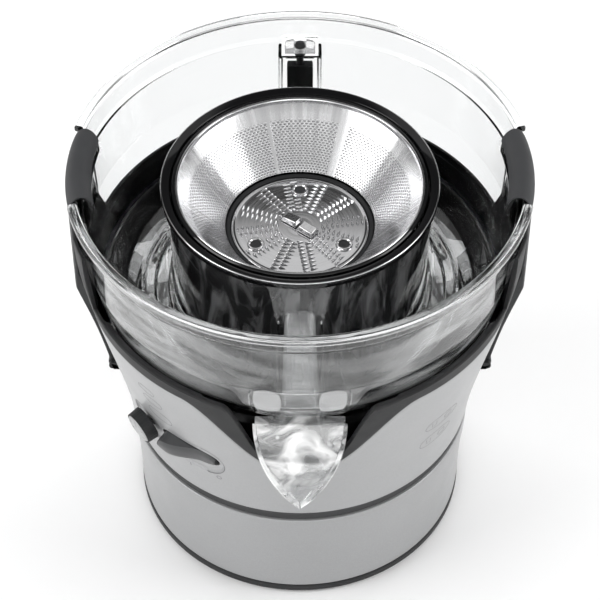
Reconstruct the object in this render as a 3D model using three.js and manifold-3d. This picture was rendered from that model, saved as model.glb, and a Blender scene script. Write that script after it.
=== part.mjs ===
// A centrifugal table juicer with its lid off: a round motor base, a clear pulp bowl in a black collar,
// a juice collector with its duct and pouring spout, a steel filter basket with a grating disc,
// two side clamps, a power rocker, a speed knob and a lid interlock at the back.
// Millimetres, +Z up. The origin is on the table under the drive axis, and the spout points along -Y.

import * as THREE from "three";
import { mergeVertices } from "three/addons/utils/BufferGeometryUtils.js";
import Module from "manifold-3d";

const wasm = await Module();
wasm.setup();

// ---------- driving dimensions ----------

const GAP = 0.3; // between pieces that touch
const RIM = { radius: 125, top: 254.2, underside: 249.4 }; // the clear bowl's rim
const BASE = { plateBottom: 3, bossBottom: 0.5, shellBottom: 5, bandBottom: 72, bandTop: 79 };
const SHELL_WALL = 2.5;
const SHELL_TOP = 181; // where the silver shell meets the black collar
const SEAM_REACH = 32; // degrees each side of the spout where that line dips
const DECK_TOP = 146; // black floor between the motor and the bowls
const COLLAR_BACK_TOP = 185;
const CLAMP = { pivotZ: 108, pivotOut: 4.6, knuckle: 2.5, pin: 1.2, archHalfAngle: 12.8, halfWidthLow: 11.5 };
const NOTCH = { halfAngle: 14, bottom: 236.5 }; // where a clamp crosses the bowl's rim
const DRUM = { topRadius: 71.2, bottomRadius: 69, top: 236, floor: 149, wall: 2.2 };
const DUCT = { half: 13, wall: 2, length: 105, floor: 153, roofIn: 196, roofOut: 173 };
const SPOUT = { half: 25, rootY: -106, rootZ: 168, tipY: -140, tipZ: 141 };
const BASKET = { rim: 68.6, rimTop: 241.5, discZ: 206, discRadius: 37.3, coneBottom: 41.2 };
const KNOB = { angle: 53.3, z: 117, radius: 10, height: 8.5 };
const CORD_Z = 34; // height of the cord's bush in the rear wall
const ROCKER = { angle: 36, z: 118, half: 17.5, tall: 5.5, out: 6 };
const FINE = 36; // facets round the large turned pieces
const MEDIUM = 32;
const SMALL = 16;

const rad = THREE.MathUtils.degToRad;
const smooth = THREE.MathUtils.smoothstep;

// Outer radius of the silver body: almost straight below, flared above.
function bodyRadius(z) {
  if (z < 62) return 95 + 2.5 * (z / 62) ** 3;
  return 97.5 + 26.5 * smooth(z, 62, 234);
}

// The point at a compass angle, radius and height. Angles start at the spout and grow towards -X.
function polar(angle, radius, z) {
  const a = rad(angle);
  return new THREE.Vector3(-radius * Math.sin(a), -radius * Math.cos(a), z);
}

// ---------- geometry helpers ----------

// Merged geometry with its faces pointing out.
function closed(geometry) {
  const g = geometry.clone();
  g.deleteAttribute("normal");
  g.deleteAttribute("uv");
  const merged = mergeVertices(g, 1e-4);
  const p = merged.attributes.position;
  const index = merged.index.array;
  const [a, b, c] = [new THREE.Vector3(), new THREE.Vector3(), new THREE.Vector3()];
  let volume = 0;
  for (let i = 0; i < index.length; i += 3) {
    a.fromBufferAttribute(p, index[i]);
    b.fromBufferAttribute(p, index[i + 1]);
    c.fromBufferAttribute(p, index[i + 2]);
    volume += a.dot(b.cross(c));
  }
  if (volume < 0) {
    for (let i = 0; i < index.length; i += 3) [index[i], index[i + 1]] = [index[i + 1], index[i]];
  }
  return merged;
}

function toSolid(geometry) {
  const g = closed(geometry);
  return new wasm.Manifold(
    new wasm.Mesh({
      numProp: 3,
      vertProperties: new Float32Array(g.attributes.position.array),
      triVerts: new Uint32Array(g.index.array),
    }),
  );
}

function toGeometry(solid) {
  const mesh = solid.getMesh();
  return new THREE.BufferGeometry()
    .setAttribute("position", new THREE.BufferAttribute(new Float32Array(mesh.vertProperties), 3))
    .setIndex(new THREE.BufferAttribute(new Uint32Array(mesh.triVerts), 1));
}

function cut(body, ...tools) {
  return toGeometry(tools.reduce((left, tool) => left.subtract(toSolid(tool)), toSolid(body)));
}

function join(...bodies) {
  return toGeometry(bodies.map(toSolid).reduce((all, next) => all.add(next)));
}

// A turned solid: outline holds [radius, z] pairs; it closes on itself unless both ends are on the axis.
function turned(outline, facets = FINE) {
  const points = outline.map(([r, z]) => new THREE.Vector2(r, z));
  const onAxis = outline[0][0] === 0 && outline.at(-1)[0] === 0;
  if (!onAxis) points.push(points[0].clone());
  return closed(new THREE.LatheGeometry(points, facets).rotateX(Math.PI / 2));
}

function ring(inner, outer, bottom, top, facets = MEDIUM) {
  return turned([[inner, bottom], [outer, bottom], [outer, top], [inner, top]], facets);
}

function disc(radius, bottom, top, facets = MEDIUM) {
  return turned([[0, bottom], [radius, bottom], [radius, top], [0, top]], facets);
}

function box(x0, x1, y0, y1, z0, z1) {
  return new THREE.BoxGeometry(x1 - x0, y1 - y0, z1 - z0)
    .translate((x0 + x1) / 2, (y0 + y1) / 2, (z0 + z1) / 2);
}

// The same piece on the other side of the drive axis when side is -1.
const mirrored = (geometry, side) => closed(geometry.clone().scale(side, 1, 1));

// A rod along Y.
function rodY(radius, x, z, y0, y1, facets = 12) {
  return new THREE.CylinderGeometry(radius, radius, y1 - y0, facets).translate(0, (y0 + y1) / 2, 0)
    .translate(x, 0, z);
}

// A flat outline of [x, y] pairs extruded along +Z from bottom to top.
function prism(outline, bottom, top) {
  const shape = new THREE.Shape(outline.map(([x, y]) => new THREE.Vector2(x, y)));
  return new THREE.ExtrudeGeometry(shape, { depth: top - bottom, bevelEnabled: false })
    .translate(0, 0, bottom);
}

function meshFrom(points, faces) {
  return closed(
    new THREE.BufferGeometry()
      .setAttribute("position", new THREE.Float32BufferAttribute(points.flatMap((p) => p.toArray()), 3))
      .setIndex(faces),
  );
}

// A ring whose cross-section changes with the angle: section(angle) gives the same number of [r, z] pairs.
function loftedRing(angles, section) {
  const points = angles.flatMap((angle) => section(angle).map(([r, z]) => polar(angle, r, z)));
  const n = section(angles[0]).length;
  const faces = [];
  for (let i = 0; i < angles.length; i++) {
    for (let j = 0; j < n; j++) {
      const a = i * n + j;
      const b = i * n + ((j + 1) % n);
      const c = ((i + 1) % angles.length) * n + j;
      const d = ((i + 1) % angles.length) * n + ((j + 1) % n);
      faces.push(a, b, d, a, d, c);
    }
  }
  return meshFrom(points, faces);
}

// A thick skin between two surfaces over the unit square, with nu by nv cells.
function slab(nu, nv, outer, inner) {
  const points = [];
  for (const surface of [outer, inner]) {
    for (let i = 0; i <= nu; i++) {
      for (let j = 0; j <= nv; j++) points.push(surface(i / nu, j / nv));
    }
  }
  const at = (side, i, j) => side * (nu + 1) * (nv + 1) + i * (nv + 1) + j;
  const faces = [];
  const quad = (a, b, c, d) => faces.push(a, b, c, a, c, d);
  for (let i = 0; i < nu; i++) {
    for (let j = 0; j < nv; j++) {
      quad(at(0, i, j), at(0, i + 1, j), at(0, i + 1, j + 1), at(0, i, j + 1));
      quad(at(1, i, j), at(1, i, j + 1), at(1, i + 1, j + 1), at(1, i + 1, j));
    }
    quad(at(0, i, 0), at(1, i, 0), at(1, i + 1, 0), at(0, i + 1, 0));
    quad(at(0, i, nv), at(0, i + 1, nv), at(1, i + 1, nv), at(1, i, nv));
  }
  for (let j = 0; j < nv; j++) {
    quad(at(0, 0, j), at(0, 0, j + 1), at(1, 0, j + 1), at(1, 0, j));
    quad(at(0, nu, j), at(1, nu, j), at(1, nu, j + 1), at(0, nu, j + 1));
  }
  return meshFrom(points, faces);
}

// ---------- materials ----------

const material = (color, roughness, metalness = 0, opacity = 1) =>
  new THREE.MeshStandardMaterial({ color, roughness, metalness, opacity, transparent: opacity < 1 });
const SILVER = material(0xb9babb, 0.42, 0.55);
const BLACK = material(0x242526, 0.5);
const GLOSS = material(0x0c0c0d, 0.12);
const TRIM = material(0x4b4c4d, 0.6);
const SOFT = material(0x454647, 0.75);
const CLEAR = material(0xeef1f2, 0.05, 0, 0.3);
const STEEL = material(0xc9cacc, 0.25, 1);
const IRON = material(0x6d7075, 0.5, 0.8);
const COPPER = material(0xa8562a, 0.4, 0.9);
const BOARD = material(0x2c5a3a, 0.7);
const CARBON = material(0x1b1b1c, 0.9);
const RUBBER = material(0x1d1d1e, 0.9);

const juicer = new THREE.Group();

function add(name, geometry, finish, parent = juicer) {
  const mesh = new THREE.Mesh(geometry, finish);
  mesh.name = name;
  parent.add(mesh);
  return mesh;
}

// A group standing on the silver shell: local +Z points out of the shell, local +Y up along it.
function onShell(angle, z) {
  const tilt = Math.atan((bodyRadius(z + 2) - bodyRadius(z - 2)) / 4);
  const out = polar(angle, Math.cos(tilt), -Math.sin(tilt));
  const right = new THREE.Vector3(0, 0, 1).cross(out).normalize();
  const up = new THREE.Vector3().crossVectors(out, right);
  const group = new THREE.Group();
  group.position.copy(polar(angle, bodyRadius(z), z));
  group.quaternion.setFromRotationMatrix(new THREE.Matrix4().makeBasis(right, up, out));
  group.updateMatrix();
  return group;
}

// The same placement applied to a cutting tool.
const placed = (geometry, group) => geometry.clone().applyMatrix4(group.matrix);

// ---------- motor base ----------

function feetPlaces() {
  return [45, 135, 225, 315].map((angle) => polar(angle, 74, 0));
}

function screwPlaces() {
  return [0, 90, 180, 270].map((angle) => polar(angle, 82, 0));
}

function basePlate() {
  const outline = [
    [0, BASE.bossBottom], [50, BASE.bossBottom], [51, BASE.plateBottom], [92.6, BASE.plateBottom],
    [93.2, 4.7], [90.6, 4.7], [90.6, 8.5], [88.4, 8.5], [88.4, 6.5], [0, 6.5],
  ];
  const holes = [
    ...feetPlaces().map((p) => disc(4.3, 0, 10, SMALL).translate(p.x, p.y, 0)),
    ...screwPlaces().map((p) => disc(2.4, 0, 10, 12).translate(p.x, p.y, 0)),
  ];
  for (let k = 0; k < 6; k++) {
    holes.push(box(-1.6, 1.6, 20, 44, 0, 10).rotateZ(rad(30 + 60 * k)));
  }
  return cut(turned(outline, FINE), ...holes);
}

function foot() {
  return turned([[0, 0], [8.4, 0], [9, 0.8], [9, 2.7], [4, 2.7], [4, 6.8], [5.2, 6.8], [3.6, 8.8], [0, 8.8]], SMALL);
}

function screw() {
  return turned([[0, 1.2], [3.2, 1.2], [3.8, 2.7], [2.1, 2.7], [2.1, 10], [1.4, 14], [0, 14]], 12);
}

function shellWall(bottom, top, steps) {
  const zs = Array.from({ length: steps + 1 }, (_, i) => bottom + ((top - bottom) * i) / steps);
  return [
    ...zs.map((z) => [bodyRadius(z), z]),
    ...zs.reverse().map((z) => [bodyRadius(z) - SHELL_WALL, z]),
  ];
}

function lowerHousing() {
  const wall = [[93.4, BASE.shellBottom], ...shellWall(11, BASE.bandBottom, 3), [91.6, BASE.shellBottom]];
  const cordHole = disc(6.3, 80, 110, SMALL).rotateX(-Math.PI / 2).translate(0, 0, CORD_Z);
  return cut(turned(wall), cordHole);
}

function trimBand() {
  const { bandBottom: b, bandTop: t } = BASE;
  return turned([
    [92.2, b - 5], [94.2, b - 5], [94.2, b + GAP], [97.1, b + GAP],
    [97.1, t - GAP], [94.2, t - GAP], [94.2, t + 5], [92.2, t + 5],
  ]);
}

// Height of the seam between silver shell and black collar: level, with a deep dip under the spout.
const seamHeight = (angle) => 131 + (SHELL_TOP - 131) * smooth(Math.abs(angle), 7, SEAM_REACH);

// Height of the collar's top edge: notched for the spout, rising to an ear inside each clamp.
function collarTop(angle) {
  const a = Math.abs(angle);
  if (a > 110) return COLLAR_BACK_TOP;
  if (a > 66) return 234 - (234 - COLLAR_BACK_TOP) * smooth(a, 101, 110);
  return 141.5 + 48 * smooth(a, 10, 20) + 0.12 * Math.max(0, a - 21);
}

// The long shallow pocket that the rocker and the knob sit in.
function controlPocket() {
  const half = 21.5;
  const end = 12.5;
  const outline = [];
  for (let k = 0; k <= 16; k++) {
    const a = rad(-90 + 180 * (k / 8 - (k > 8 ? 1 : 0)) + (k > 8 ? 180 : 0));
    outline.push([Math.sign(8.5 - k) * half + end * Math.cos(a), end * Math.sin(a)]);
  }
  const core = [98, 105, 112, 119, 126, 134].map((z) => [bodyRadius(z) - 1.1, z]);
  const inside = turned([[0, 98], ...core, [0, 134]], FINE);
  return cut(placed(prism(outline, -14, 14), onShell(42, 117.5)), inside);
}

function upperHousing() {
  const dip = collarAngles().filter((a) => Math.abs(a) <= SEAM_REACH).map((a) => {
    const r = bodyRadius(seamHeight(a));
    return [-r * Math.sin(rad(a)), seamHeight(a)];
  });
  const mouth = prism([...dip, [-70, 178], [-70, 200], [70, 200], [70, 178]], 60, 130).rotateX(Math.PI / 2);
  const knobHole = placed(disc(4, -12, 8, 12), onShell(KNOB.angle, KNOB.z));
  const rockerHole = placed(box(-20.3, 20.3, -6.3, 6.3, -12, 8), onShell(ROCKER.angle, ROCKER.z));
  const wall = turned(shellWall(BASE.bandTop, SHELL_TOP, 6), FINE);
  return cut(wall, mouth, controlPocket(), knobHole, rockerHole);
}

// Angles for the collar: close together where its edges change quickly.
function collarAngles() {
  const list = [];
  for (let a = 0; a < 26; a += 2.5) list.push(a);
  for (let a = 26; a < 62; a += 6) list.push(a);
  list.push(62, 66, 73.6, 74.4, 82, 90, 98, 105.6, 106.4, 109.6, 110.4);
  for (let a = 118; a < 180; a += 9) list.push(a);
  const mirrored = list.slice(1).map((a) => -a).reverse();
  return [...mirrored, ...list, 180];
}

// Inside a clamp's channel the collar's ear is thinned so that the arm lies flush.
function collarRadius(angle, z) {
  const a = Math.abs(angle);
  const r = bodyRadius(z);
  return a > 74 && a < 106 ? Math.min(r, 121) : r;
}

function collar() {
  const section = (angle) => {
    const low = seamHeight(angle) + GAP;
    const high = collarTop(angle);
    const a = Math.abs(angle);
    const lip = a > 60 ? 2.3 : a < 26 ? 3.2 : 4.4;
    const steps = [0, 0.33, 0.67, 1].map((t) => low + (high - low) * t);
    const wall = (z) => Math.min(lip, collarRadius(angle, z) - bodyRadius(z) + lip);
    return [
      ...steps.map((z) => [collarRadius(angle, z), z]),
      ...steps.reverse().map((z) => [collarRadius(angle, z) - Math.max(1.4, wall(z)), z]),
    ];
  };
  return loftedRing(collarAngles(), section);
}

function innerDeck() {
  const outline = [
    [14, 143], [80, 144], [100.4, 148.6], [107.4, 159], [110.4, 171],
    [108, 171], [105, 160.4], [98.8, 151.2], [80, DECK_TOP + 1], [17, DECK_TOP],
    [17, 155], [14, 155],
  ];
  const floor = cut(turned(outline, FINE), box(-38, 38, -130, -60, 150.4, 180));
  return join(floor, spoutPanel());
}

// The front wall of the deck, behind the spout, with the juice duct's passage.
function spoutPanel() {
  const half = 20;
  const outer = (u, v) => {
    const z = 132 + 30 * v;
    return polar(half * (1 - 2 * u), Math.min(bodyRadius(z) - 4.4, 104.4), z);
  };
  const inner = (u, v) => {
    const p = outer(u, v);
    return new THREE.Vector3(p.x * 0.945, p.y * 0.945, p.z);
  };
  return cut(slab(8, 3, outer, inner), box(-DUCT.half - 1.4, DUCT.half + 1.4, -120, -80, DUCT.floor - 3.4, 190));
}

add("base_plate", basePlate(), BLACK);
feetPlaces().forEach((p, i) => add(`foot_${i + 1}`, foot().translate(p.x, p.y, 0), RUBBER));
screwPlaces().forEach((p, i) => add(`base_screw_${i + 1}`, screw().translate(p.x, p.y, 0), STEEL));
add("lower_housing", lowerHousing(), SILVER);
add("trim_band", trimBand(), TRIM);
add("upper_housing", upperHousing(), SILVER);
add("collar", collar(), BLACK);
add("inner_deck", innerDeck(), GLOSS);
add("shaft_seal", ring(5, 13.6, 144, 149, SMALL), RUBBER);

// The bush that the cord would pass through, in the rear wall.
function cordGland() {
  const outline = [[3.4, -8], [6, -8], [6, 0], [9, 0], [9, 2.4], [7.4, 4], [3.4, 4]];
  return turned(outline, SMALL).rotateX(-Math.PI / 2).translate(0, bodyRadius(CORD_Z) + 1, CORD_Z);
}
add("cord_gland", cordGland(), RUBBER);

// ---------- motor ----------

function stator() {
  const pack = turned([[25, 45], [41, 45], [41, 85], [25, 85]], 24);
  return cut(pack, box(-9, 9, 30, 60, 40, 90), box(-9, 9, -60, -30, 40, 90));
}

function fieldCoil(side) {
  return box(-20, 20, -4, 4, 36, 44).translate(0, side * 31, 0);
}

// A cross bar with the seat of one motor bearing in its middle.
function motorBridge(bottom, height, seatFloor) {
  const bar = box(-58, 58, -9, 9, bottom, bottom + 3);
  const hub = disc(12, bottom, bottom + height, SMALL);
  return cut(join(bar, hub), disc(8 + GAP, seatFloor, bottom + height + 5, SMALL), disc(5, 0, 300, SMALL));
}

function motorFrame() {
  const post = (side) => mirrored(box(46, 56, -6, 6, 13, 116 - GAP), side);
  return join(motorBridge(12, 10, 15.7), post(1), post(-1));
}

function fan() {
  const hub = disc(9, 24, 32, SMALL);
  const plate = disc(35, 30.4, 32, 24);
  const blades = Array.from({ length: 9 }, (_, k) => box(8, 34, -0.9, 0.9, 24, 31).rotateZ(rad(40 * k)));
  return cut(join(hub, plate, ...blades), disc(4, 0, 60, SMALL));
}

function hexagon(radius) {
  return Array.from({ length: 6 }, (_, k) => [radius * Math.cos(rad(60 * k)), radius * Math.sin(rad(60 * k))]);
}

add("motor_stator", stator(), IRON);
add("field_coil_front", fieldCoil(-1), COPPER);
add("field_coil_rear", fieldCoil(1), COPPER);
add("motor_frame", motorFrame(), IRON);
add("motor_bridge", motorBridge(116, 10, 119.7), IRON);
add("bearing_lower", ring(4.4, 8, 16, 22, SMALL), STEEL);
add("bearing_upper", ring(4.4, 8, 120, 126, SMALL), STEEL);
for (const [name, side] of [["left", -1], ["right", 1]]) {
  add(`carbon_brush_${name}`, mirrored(box(12, 26, -3.5, 3.5, 93, 100), side), CARBON);
}
add("motor_shaft", disc(4 - 0.2, 13, 158, SMALL), STEEL);
add("rotor_core", ring(4, 24, 47, 83, 24), IRON);
add("commutator", ring(4, 11.4, 90, 103, SMALL), COPPER);
add("cooling_fan", fan(), BLACK);
add("drive_coupling", cut(join(prism(hexagon(7), 160, 190), disc(8.5, 152, 162, SMALL)), disc(4, 140, 172, SMALL)), BLACK);
add("control_board", box(-34, 34, -1, 1, 0, 38).translate(0, 78, 24), BOARD);
add("interlock_switch", box(-9, 9, 86, 94, 112, 128), BLACK);

// ---------- pulp bowl and juice collector ----------

function bowlOutline() {
  const outside = [
    [RIM.radius - 0.6, RIM.top], [RIM.radius, RIM.top - 0.8], [RIM.radius, RIM.underside], [121.4, 249.4],
    [120.8, 239], [118.6, 236.8], [117, 205], [113.2, 187], [106.4, 173.6], [97, 165], [86, 161],
    [70.3, 159.5],
  ];
  const inside = [
    [70.3, 172], [72.4, 172], [72.4, 162.4], [86, 163.6], [95.8, 167.4], [104.2, 174.8], [110.8, 188], [114.6, 205.4],
    [116.2, 238], [118.2, 240], [118.8, 252], [120.2, RIM.top],
  ];
  return [...outside, ...inside];
}

// Where the bowl's rear wall folds in round the interlock column.
const COLUMN = { y: 112, halfWidth: 7.5, depth: 4.5, top: 228 };

function pulpBowl() {
  const bowl = turned(bowlOutline(), FINE);
  const notches = [-1, 1].map((side) => {
    const half = RIM.radius * Math.sin(rad(NOTCH.halfAngle));
    return mirrored(box(100, 140, -half, half, NOTCH.bottom, 300), side);
  });
  const groove = box(-10, 10, COLUMN.y - 7, 130, 150, 239.6);
  const fold = cut(
    box(-12.4, 12.4, 103.6, 117.4, 168, 239.4),
    box(-10.4, 10.4, 105.6, 130, 150, 237.4),
    box(-4, 4, 105, 130, 230, 250),
  );
  const slot = box(-DUCT.half - 0.4, DUCT.half + 0.4, -112, -60, 150, 173.6);
  const roof = ductBlock(DUCT.half + 0.4, 150, DUCT.roofIn + 0.4, DUCT.roofOut + 0.4, 66, DUCT.length);
  const outsideOnly = turned([[60, 160], [113.4, 188], [118, 236], [118, 241], [60, 241]], FINE);
  const trimmedFold = toGeometry(toSolid(fold).intersect(toSolid(outsideOnly)));
  return cut(join(cut(bowl, ...notches, groove), trimmedFold), slot, roof);
}

function ductBlock(half, low, inRoof, outRoof, from, to) {
  const outline = [[-from, low], [-to, low], [-to, outRoof], [-from, inRoof]];
  return prism(outline, -half, half).applyMatrix4(
    new THREE.Matrix4().makeBasis(
      new THREE.Vector3(0, 1, 0), new THREE.Vector3(0, 0, 1), new THREE.Vector3(1, 0, 0),
    ),
  );
}

function juiceCollector() {
  const { topRadius: t, bottomRadius: b, wall: w, floor: f, top } = DRUM;
  const drum = turned([
    [19.4, f], [b - 3, f], [b, f + 3], [t, top], [t - w, top],
    [b - w, f + 5], [b - w - 2, f + 2.4], [21.4, f + 2.4], [20.4, 172], [18.4, 172],
  ], MEDIUM);
  const { half, wall, length, floor, roofIn, roofOut } = DUCT;
  const outer = ductBlock(half, floor - wall, roofIn, roofOut, 66, length - 2);
  const inner = ductBlock(half - wall, floor, roofIn - wall, roofOut - wall, 50, length + 10);
  const keepOut = turned([[0, f + 2.4], [b - w, f + 4], [t - w, top], [0, top]], MEDIUM);
  return cut(join(drum, cut(outer, keepOut)), inner);
}

// Trough width along the spout, from 0 at the root to 1 at the tip.
const spoutHalf = (t) => SPOUT.half * (1 - 0.985 * t ** 2.2);

function spout() {
  const along = (t, a, b) => a + (b - a) * t;
  const skin = (shrink) => (u, v) => {
    const t = v;
    const half = Math.max(0.35, spoutHalf(t) - shrink);
    const angle = Math.PI * u;
    const depth = along(t, 24, 2.4) - shrink * (1 - 0.7 * t);
    const y = along(t, SPOUT.rootY, SPOUT.tipY + shrink);
    const z = along(t, SPOUT.rootZ, SPOUT.tipZ);
    return new THREE.Vector3(half * Math.cos(angle), y, z - depth * Math.sin(angle) ** 0.8);
  };
  return slab(12, 8, skin(0), skin(1.8));
}

add("pulp_bowl", pulpBowl(), CLEAR);
add("juice_collector", juiceCollector(), CLEAR);
add("collector_ring", turned([[69.7, 237], [72, 236.3], [74.5, 236.6], [74.5, 241], [73.4, 242], [69.7, 241.2]], 36), GLOSS);
add("spout", spout(), CLEAR);

// ---------- filter basket ----------

function filterCone() {
  const { coneBottom: r, discZ: z } = BASKET;
  return turned([[r, z + 2], [66.4, 238.4], [65.4, 238.4], [r - 0.9, z + 2.8]], 32);
}

function filterBase() {
  const z = BASKET.discZ;
  const outline = [
    [13, 174], [16, 174], [16, 198], [30, 201], [40.6, z - 2.6], [41, z + 1.4], [37.8, z + 1.4],
    [37.8, z - GAP], [0, z - GAP], [0, 196], [13, 192],
  ];
  const closedOutline = [[0, 193], [0, z - GAP], ...outline.slice(0, 8).reverse(), [13, 193]];
  return cut(turned(closedOutline, MEDIUM));
}

function gratingLug() {
  const roof = [[-9, 0], [-7.6, 3.6], [-1, 2.4], [-1, 1.2], [1, 1.2], [1, 2.4], [7.6, 3.6], [9, 0]];
  return prism(roof, -2.6, 2.6).rotateX(Math.PI / 2).rotateZ(rad(-38)).translate(0, 0, BASKET.discZ + 1.5 + GAP);
}

add("filter_rim", turned([[65.4, 238.8], [66.8, 238.8], [67.2, 239.8], [68.6, 239.8], [68.6, 241], [67.8, 241.5], [65.4, 241.5]], 32), STEEL);
add("filter_cone", filterCone(), STEEL);
add("filter_base", filterBase(), BLACK);
add("grating_disc", disc(BASKET.discRadius, BASKET.discZ, BASKET.discZ + 1.5, 36), STEEL);
add("grating_lug", gratingLug(), STEEL);
[90, 210, 330].forEach((angle, i) => {
  const p = polar(angle + 90, 27.5, 0);
  const head = turned([[0, 0], [3.6, 0], [3.2, 1.1], [2, 1.5], [0, 1.5]], 12);
  add(`disc_rivet_${i + 1}`, head.translate(p.x, p.y, BASKET.discZ + 1.5 + GAP), STEEL);
});

// ---------- side clamps ----------

const PIVOT_R = bodyRadius(CLAMP.pivotZ) + CLAMP.pivotOut;

// Half width of a clamp's arm at a height: narrow at the pivot, as wide as its grip at the top.
const armHalfWidth = (z) => CLAMP.halfWidthLow + 16 * smooth(z, 130, 232);

// The arch that crosses the rim: outer leg, crown, inner leg. Offset moves it outwards.
function arch(s, offset) {
  const a = rad(-8 + 196 * s);
  return [117.35 + (6 + offset) * Math.cos(a), 242.4 + (12 + offset) * Math.sin(a)];
}

function clampArm() {
  const top = 243;
  const leg = (out) => (u, v) => {
    const z = CLAMP.pivotZ + 4 + (top - CLAMP.pivotZ - 4) * v;
    const inner = Math.min(bodyRadius(z) + 3 - 1.8 * smooth(z, 119, 131), 121.6);
    const r = out ? Math.min(bodyRadius(z) + 6.6, 123.8) : inner;
    const half = THREE.MathUtils.radToDeg(Math.asin(armHalfWidth(z) / r));
    return polar(90 + half * (1 - 2 * u), r, z);
  };
  const hook = (offset) => (u, v) => {
    const [r, z] = arch(v, offset);
    return polar(90 + CLAMP.archHalfAngle * (1 - 2 * u), r, z);
  };
  const knuckle = rodY(CLAMP.knuckle, -PIVOT_R, CLAMP.pivotZ, -CLAMP.halfWidthLow, CLAMP.halfWidthLow, SMALL);
  const neck = box(-PIVOT_R - 2.2, -PIVOT_R + 1.6, -CLAMP.halfWidthLow, CLAMP.halfWidthLow, CLAMP.pivotZ, CLAMP.pivotZ + 6);
  const bore = rodY(CLAMP.pin + 0.4, -PIVOT_R, CLAMP.pivotZ, -20, 20);
  const leaf = slab(4, 10, leg(true), leg(false));
  const crown = slab(4, 8, hook(0.8), hook(-1.2));
  return cut(join(leaf, crown, knuckle, neck), bore);
}

function clampGrip() {
  const skin = (offset) => (u, v) => {
    const [r, z] = arch(0.2 + 0.6 * v, offset);
    return polar(90 + CLAMP.archHalfAngle * (1 - 2 * u), r, z);
  };
  return slab(4, 10, skin(2.1), skin(1.0));
}

// A strip on the shell under the arm, with the two ears that hold the pin.
function clampBracket() {
  const strip = (halfWidth, z0, z1) => {
    const skin = (lift) => (u, v) => {
      const z = z0 + (z1 - z0) * v;
      const r = bodyRadius(z) + lift;
      return polar(90 + THREE.MathUtils.radToDeg(Math.asin(halfWidth / r)) * (1 - 2 * u), r, z);
    };
    return slab(3, 5, skin(1.5), skin(0.4));
  };
  const lug = CLAMP.halfWidthLow + 1.6;
  const pad = strip(lug + 1.2, CLAMP.pivotZ - 4, CLAMP.pivotZ + 4);
  const ear = (y) => box(-PIVOT_R - 2.4, -PIVOT_R + 3.6, y - 1.2, y + 1.2, CLAMP.pivotZ - 2.8, CLAMP.pivotZ + 2.8);
  const bore = rodY(CLAMP.pin + 0.2, -PIVOT_R, CLAMP.pivotZ, -20, 20);
  return cut(join(strip(10.5, CLAMP.pivotZ - 26, CLAMP.pivotZ + 10), pad, ear(-lug), ear(lug)), bore);
}

for (const [name, side] of [["left", 1], ["right", -1]]) {
  const pin = rodY(CLAMP.pin, -PIVOT_R, CLAMP.pivotZ, -14, 14);
  add(`clamp_arm_${name}`, mirrored(clampArm(), side), BLACK);
  add(`clamp_grip_${name}`, mirrored(clampGrip(), side), SOFT);
  add(`clamp_bracket_${name}`, mirrored(clampBracket(), side), BLACK);
  add(`clamp_pin_${name}`, mirrored(pin, side), STEEL);
}

// ---------- controls ----------

const knobSeat = onShell(KNOB.angle, KNOB.z);
juicer.add(knobSeat);
const knobBody = turned([[0, 0.8], [9.6, 0.8], [KNOB.radius, 1.4], [KNOB.radius - 0.6, KNOB.height - 0.6], [9, KNOB.height - 0.6], [9, KNOB.height - 1.6], [0, KNOB.height - 1.6]], 24);
add("speed_knob", join(knobBody, disc(3, -7, 1, 12)), BLACK, knobSeat);
add("knob_cap", turned([[0, KNOB.height - 1.3], [8.6, KNOB.height - 1.3], [8.6, KNOB.height - 0.5], [7.8, KNOB.height], [0, KNOB.height]], 24), SILVER, knobSeat);
add("speed_switch", box(-9, 9, -9, 9, -24, -8), BLACK, knobSeat);

// Local x runs along the shell, positive towards the front; the proud end is the one away from the spout.
function rocker() {
  const h = ROCKER.half;
  const wave = [];
  for (let i = 0; i <= 14; i++) {
    const s = i / 14;
    const x = -h + 2 * h * s;
    wave.push([x, ROCKER.out * (1 - smooth(s, 0.12, 0.78)) - 1.2 + 0.9 * Math.sin(Math.PI * s)]);
  }
  const shape = [[-h + 1, -4.6], [h - 1, -4.6], ...wave.reverse()];
  return prism(shape, -ROCKER.tall, ROCKER.tall).rotateX(Math.PI / 2);
}

const rockerSeat = onShell(ROCKER.angle, ROCKER.z);
juicer.add(rockerSeat);
add("power_rocker", rocker(), TRIM, rockerSeat);
add("rocker_switch", box(-8, 8, -5, 5, -26, -12), BLACK, rockerSeat);

// ---------- lid interlock ----------

function interlockColumn() {
  const { y, halfWidth: h, depth: d, top } = COLUMN;
  const shaft = box(-h, h, y - d, y + 0.8, 171.4, top);
  return cut(shaft, disc(2.4, 150, 260, 12).translate(0, y - 1.8, 0));
}

function plunger() {
  const y = COLUMN.y - 1.8;
  return turned([[0, 176], [2, 176], [2, 233.6], [3.2, 234.4], [3.2, 240], [2.4, 242], [0, 242.6]], 12).translate(0, y, 0);
}

add("interlock_column", interlockColumn(), BLACK);
add("interlock_plunger", plunger(), BLACK);

export default juicer;
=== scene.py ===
# Looks for a centrifugal juicer with its lid off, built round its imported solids.
# The scene is in metres, +Z up. Outlines and points are in mm, and make() turns them into metres.

import math

import bpy
import numpy as np
from mathutils import Matrix, Vector


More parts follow.
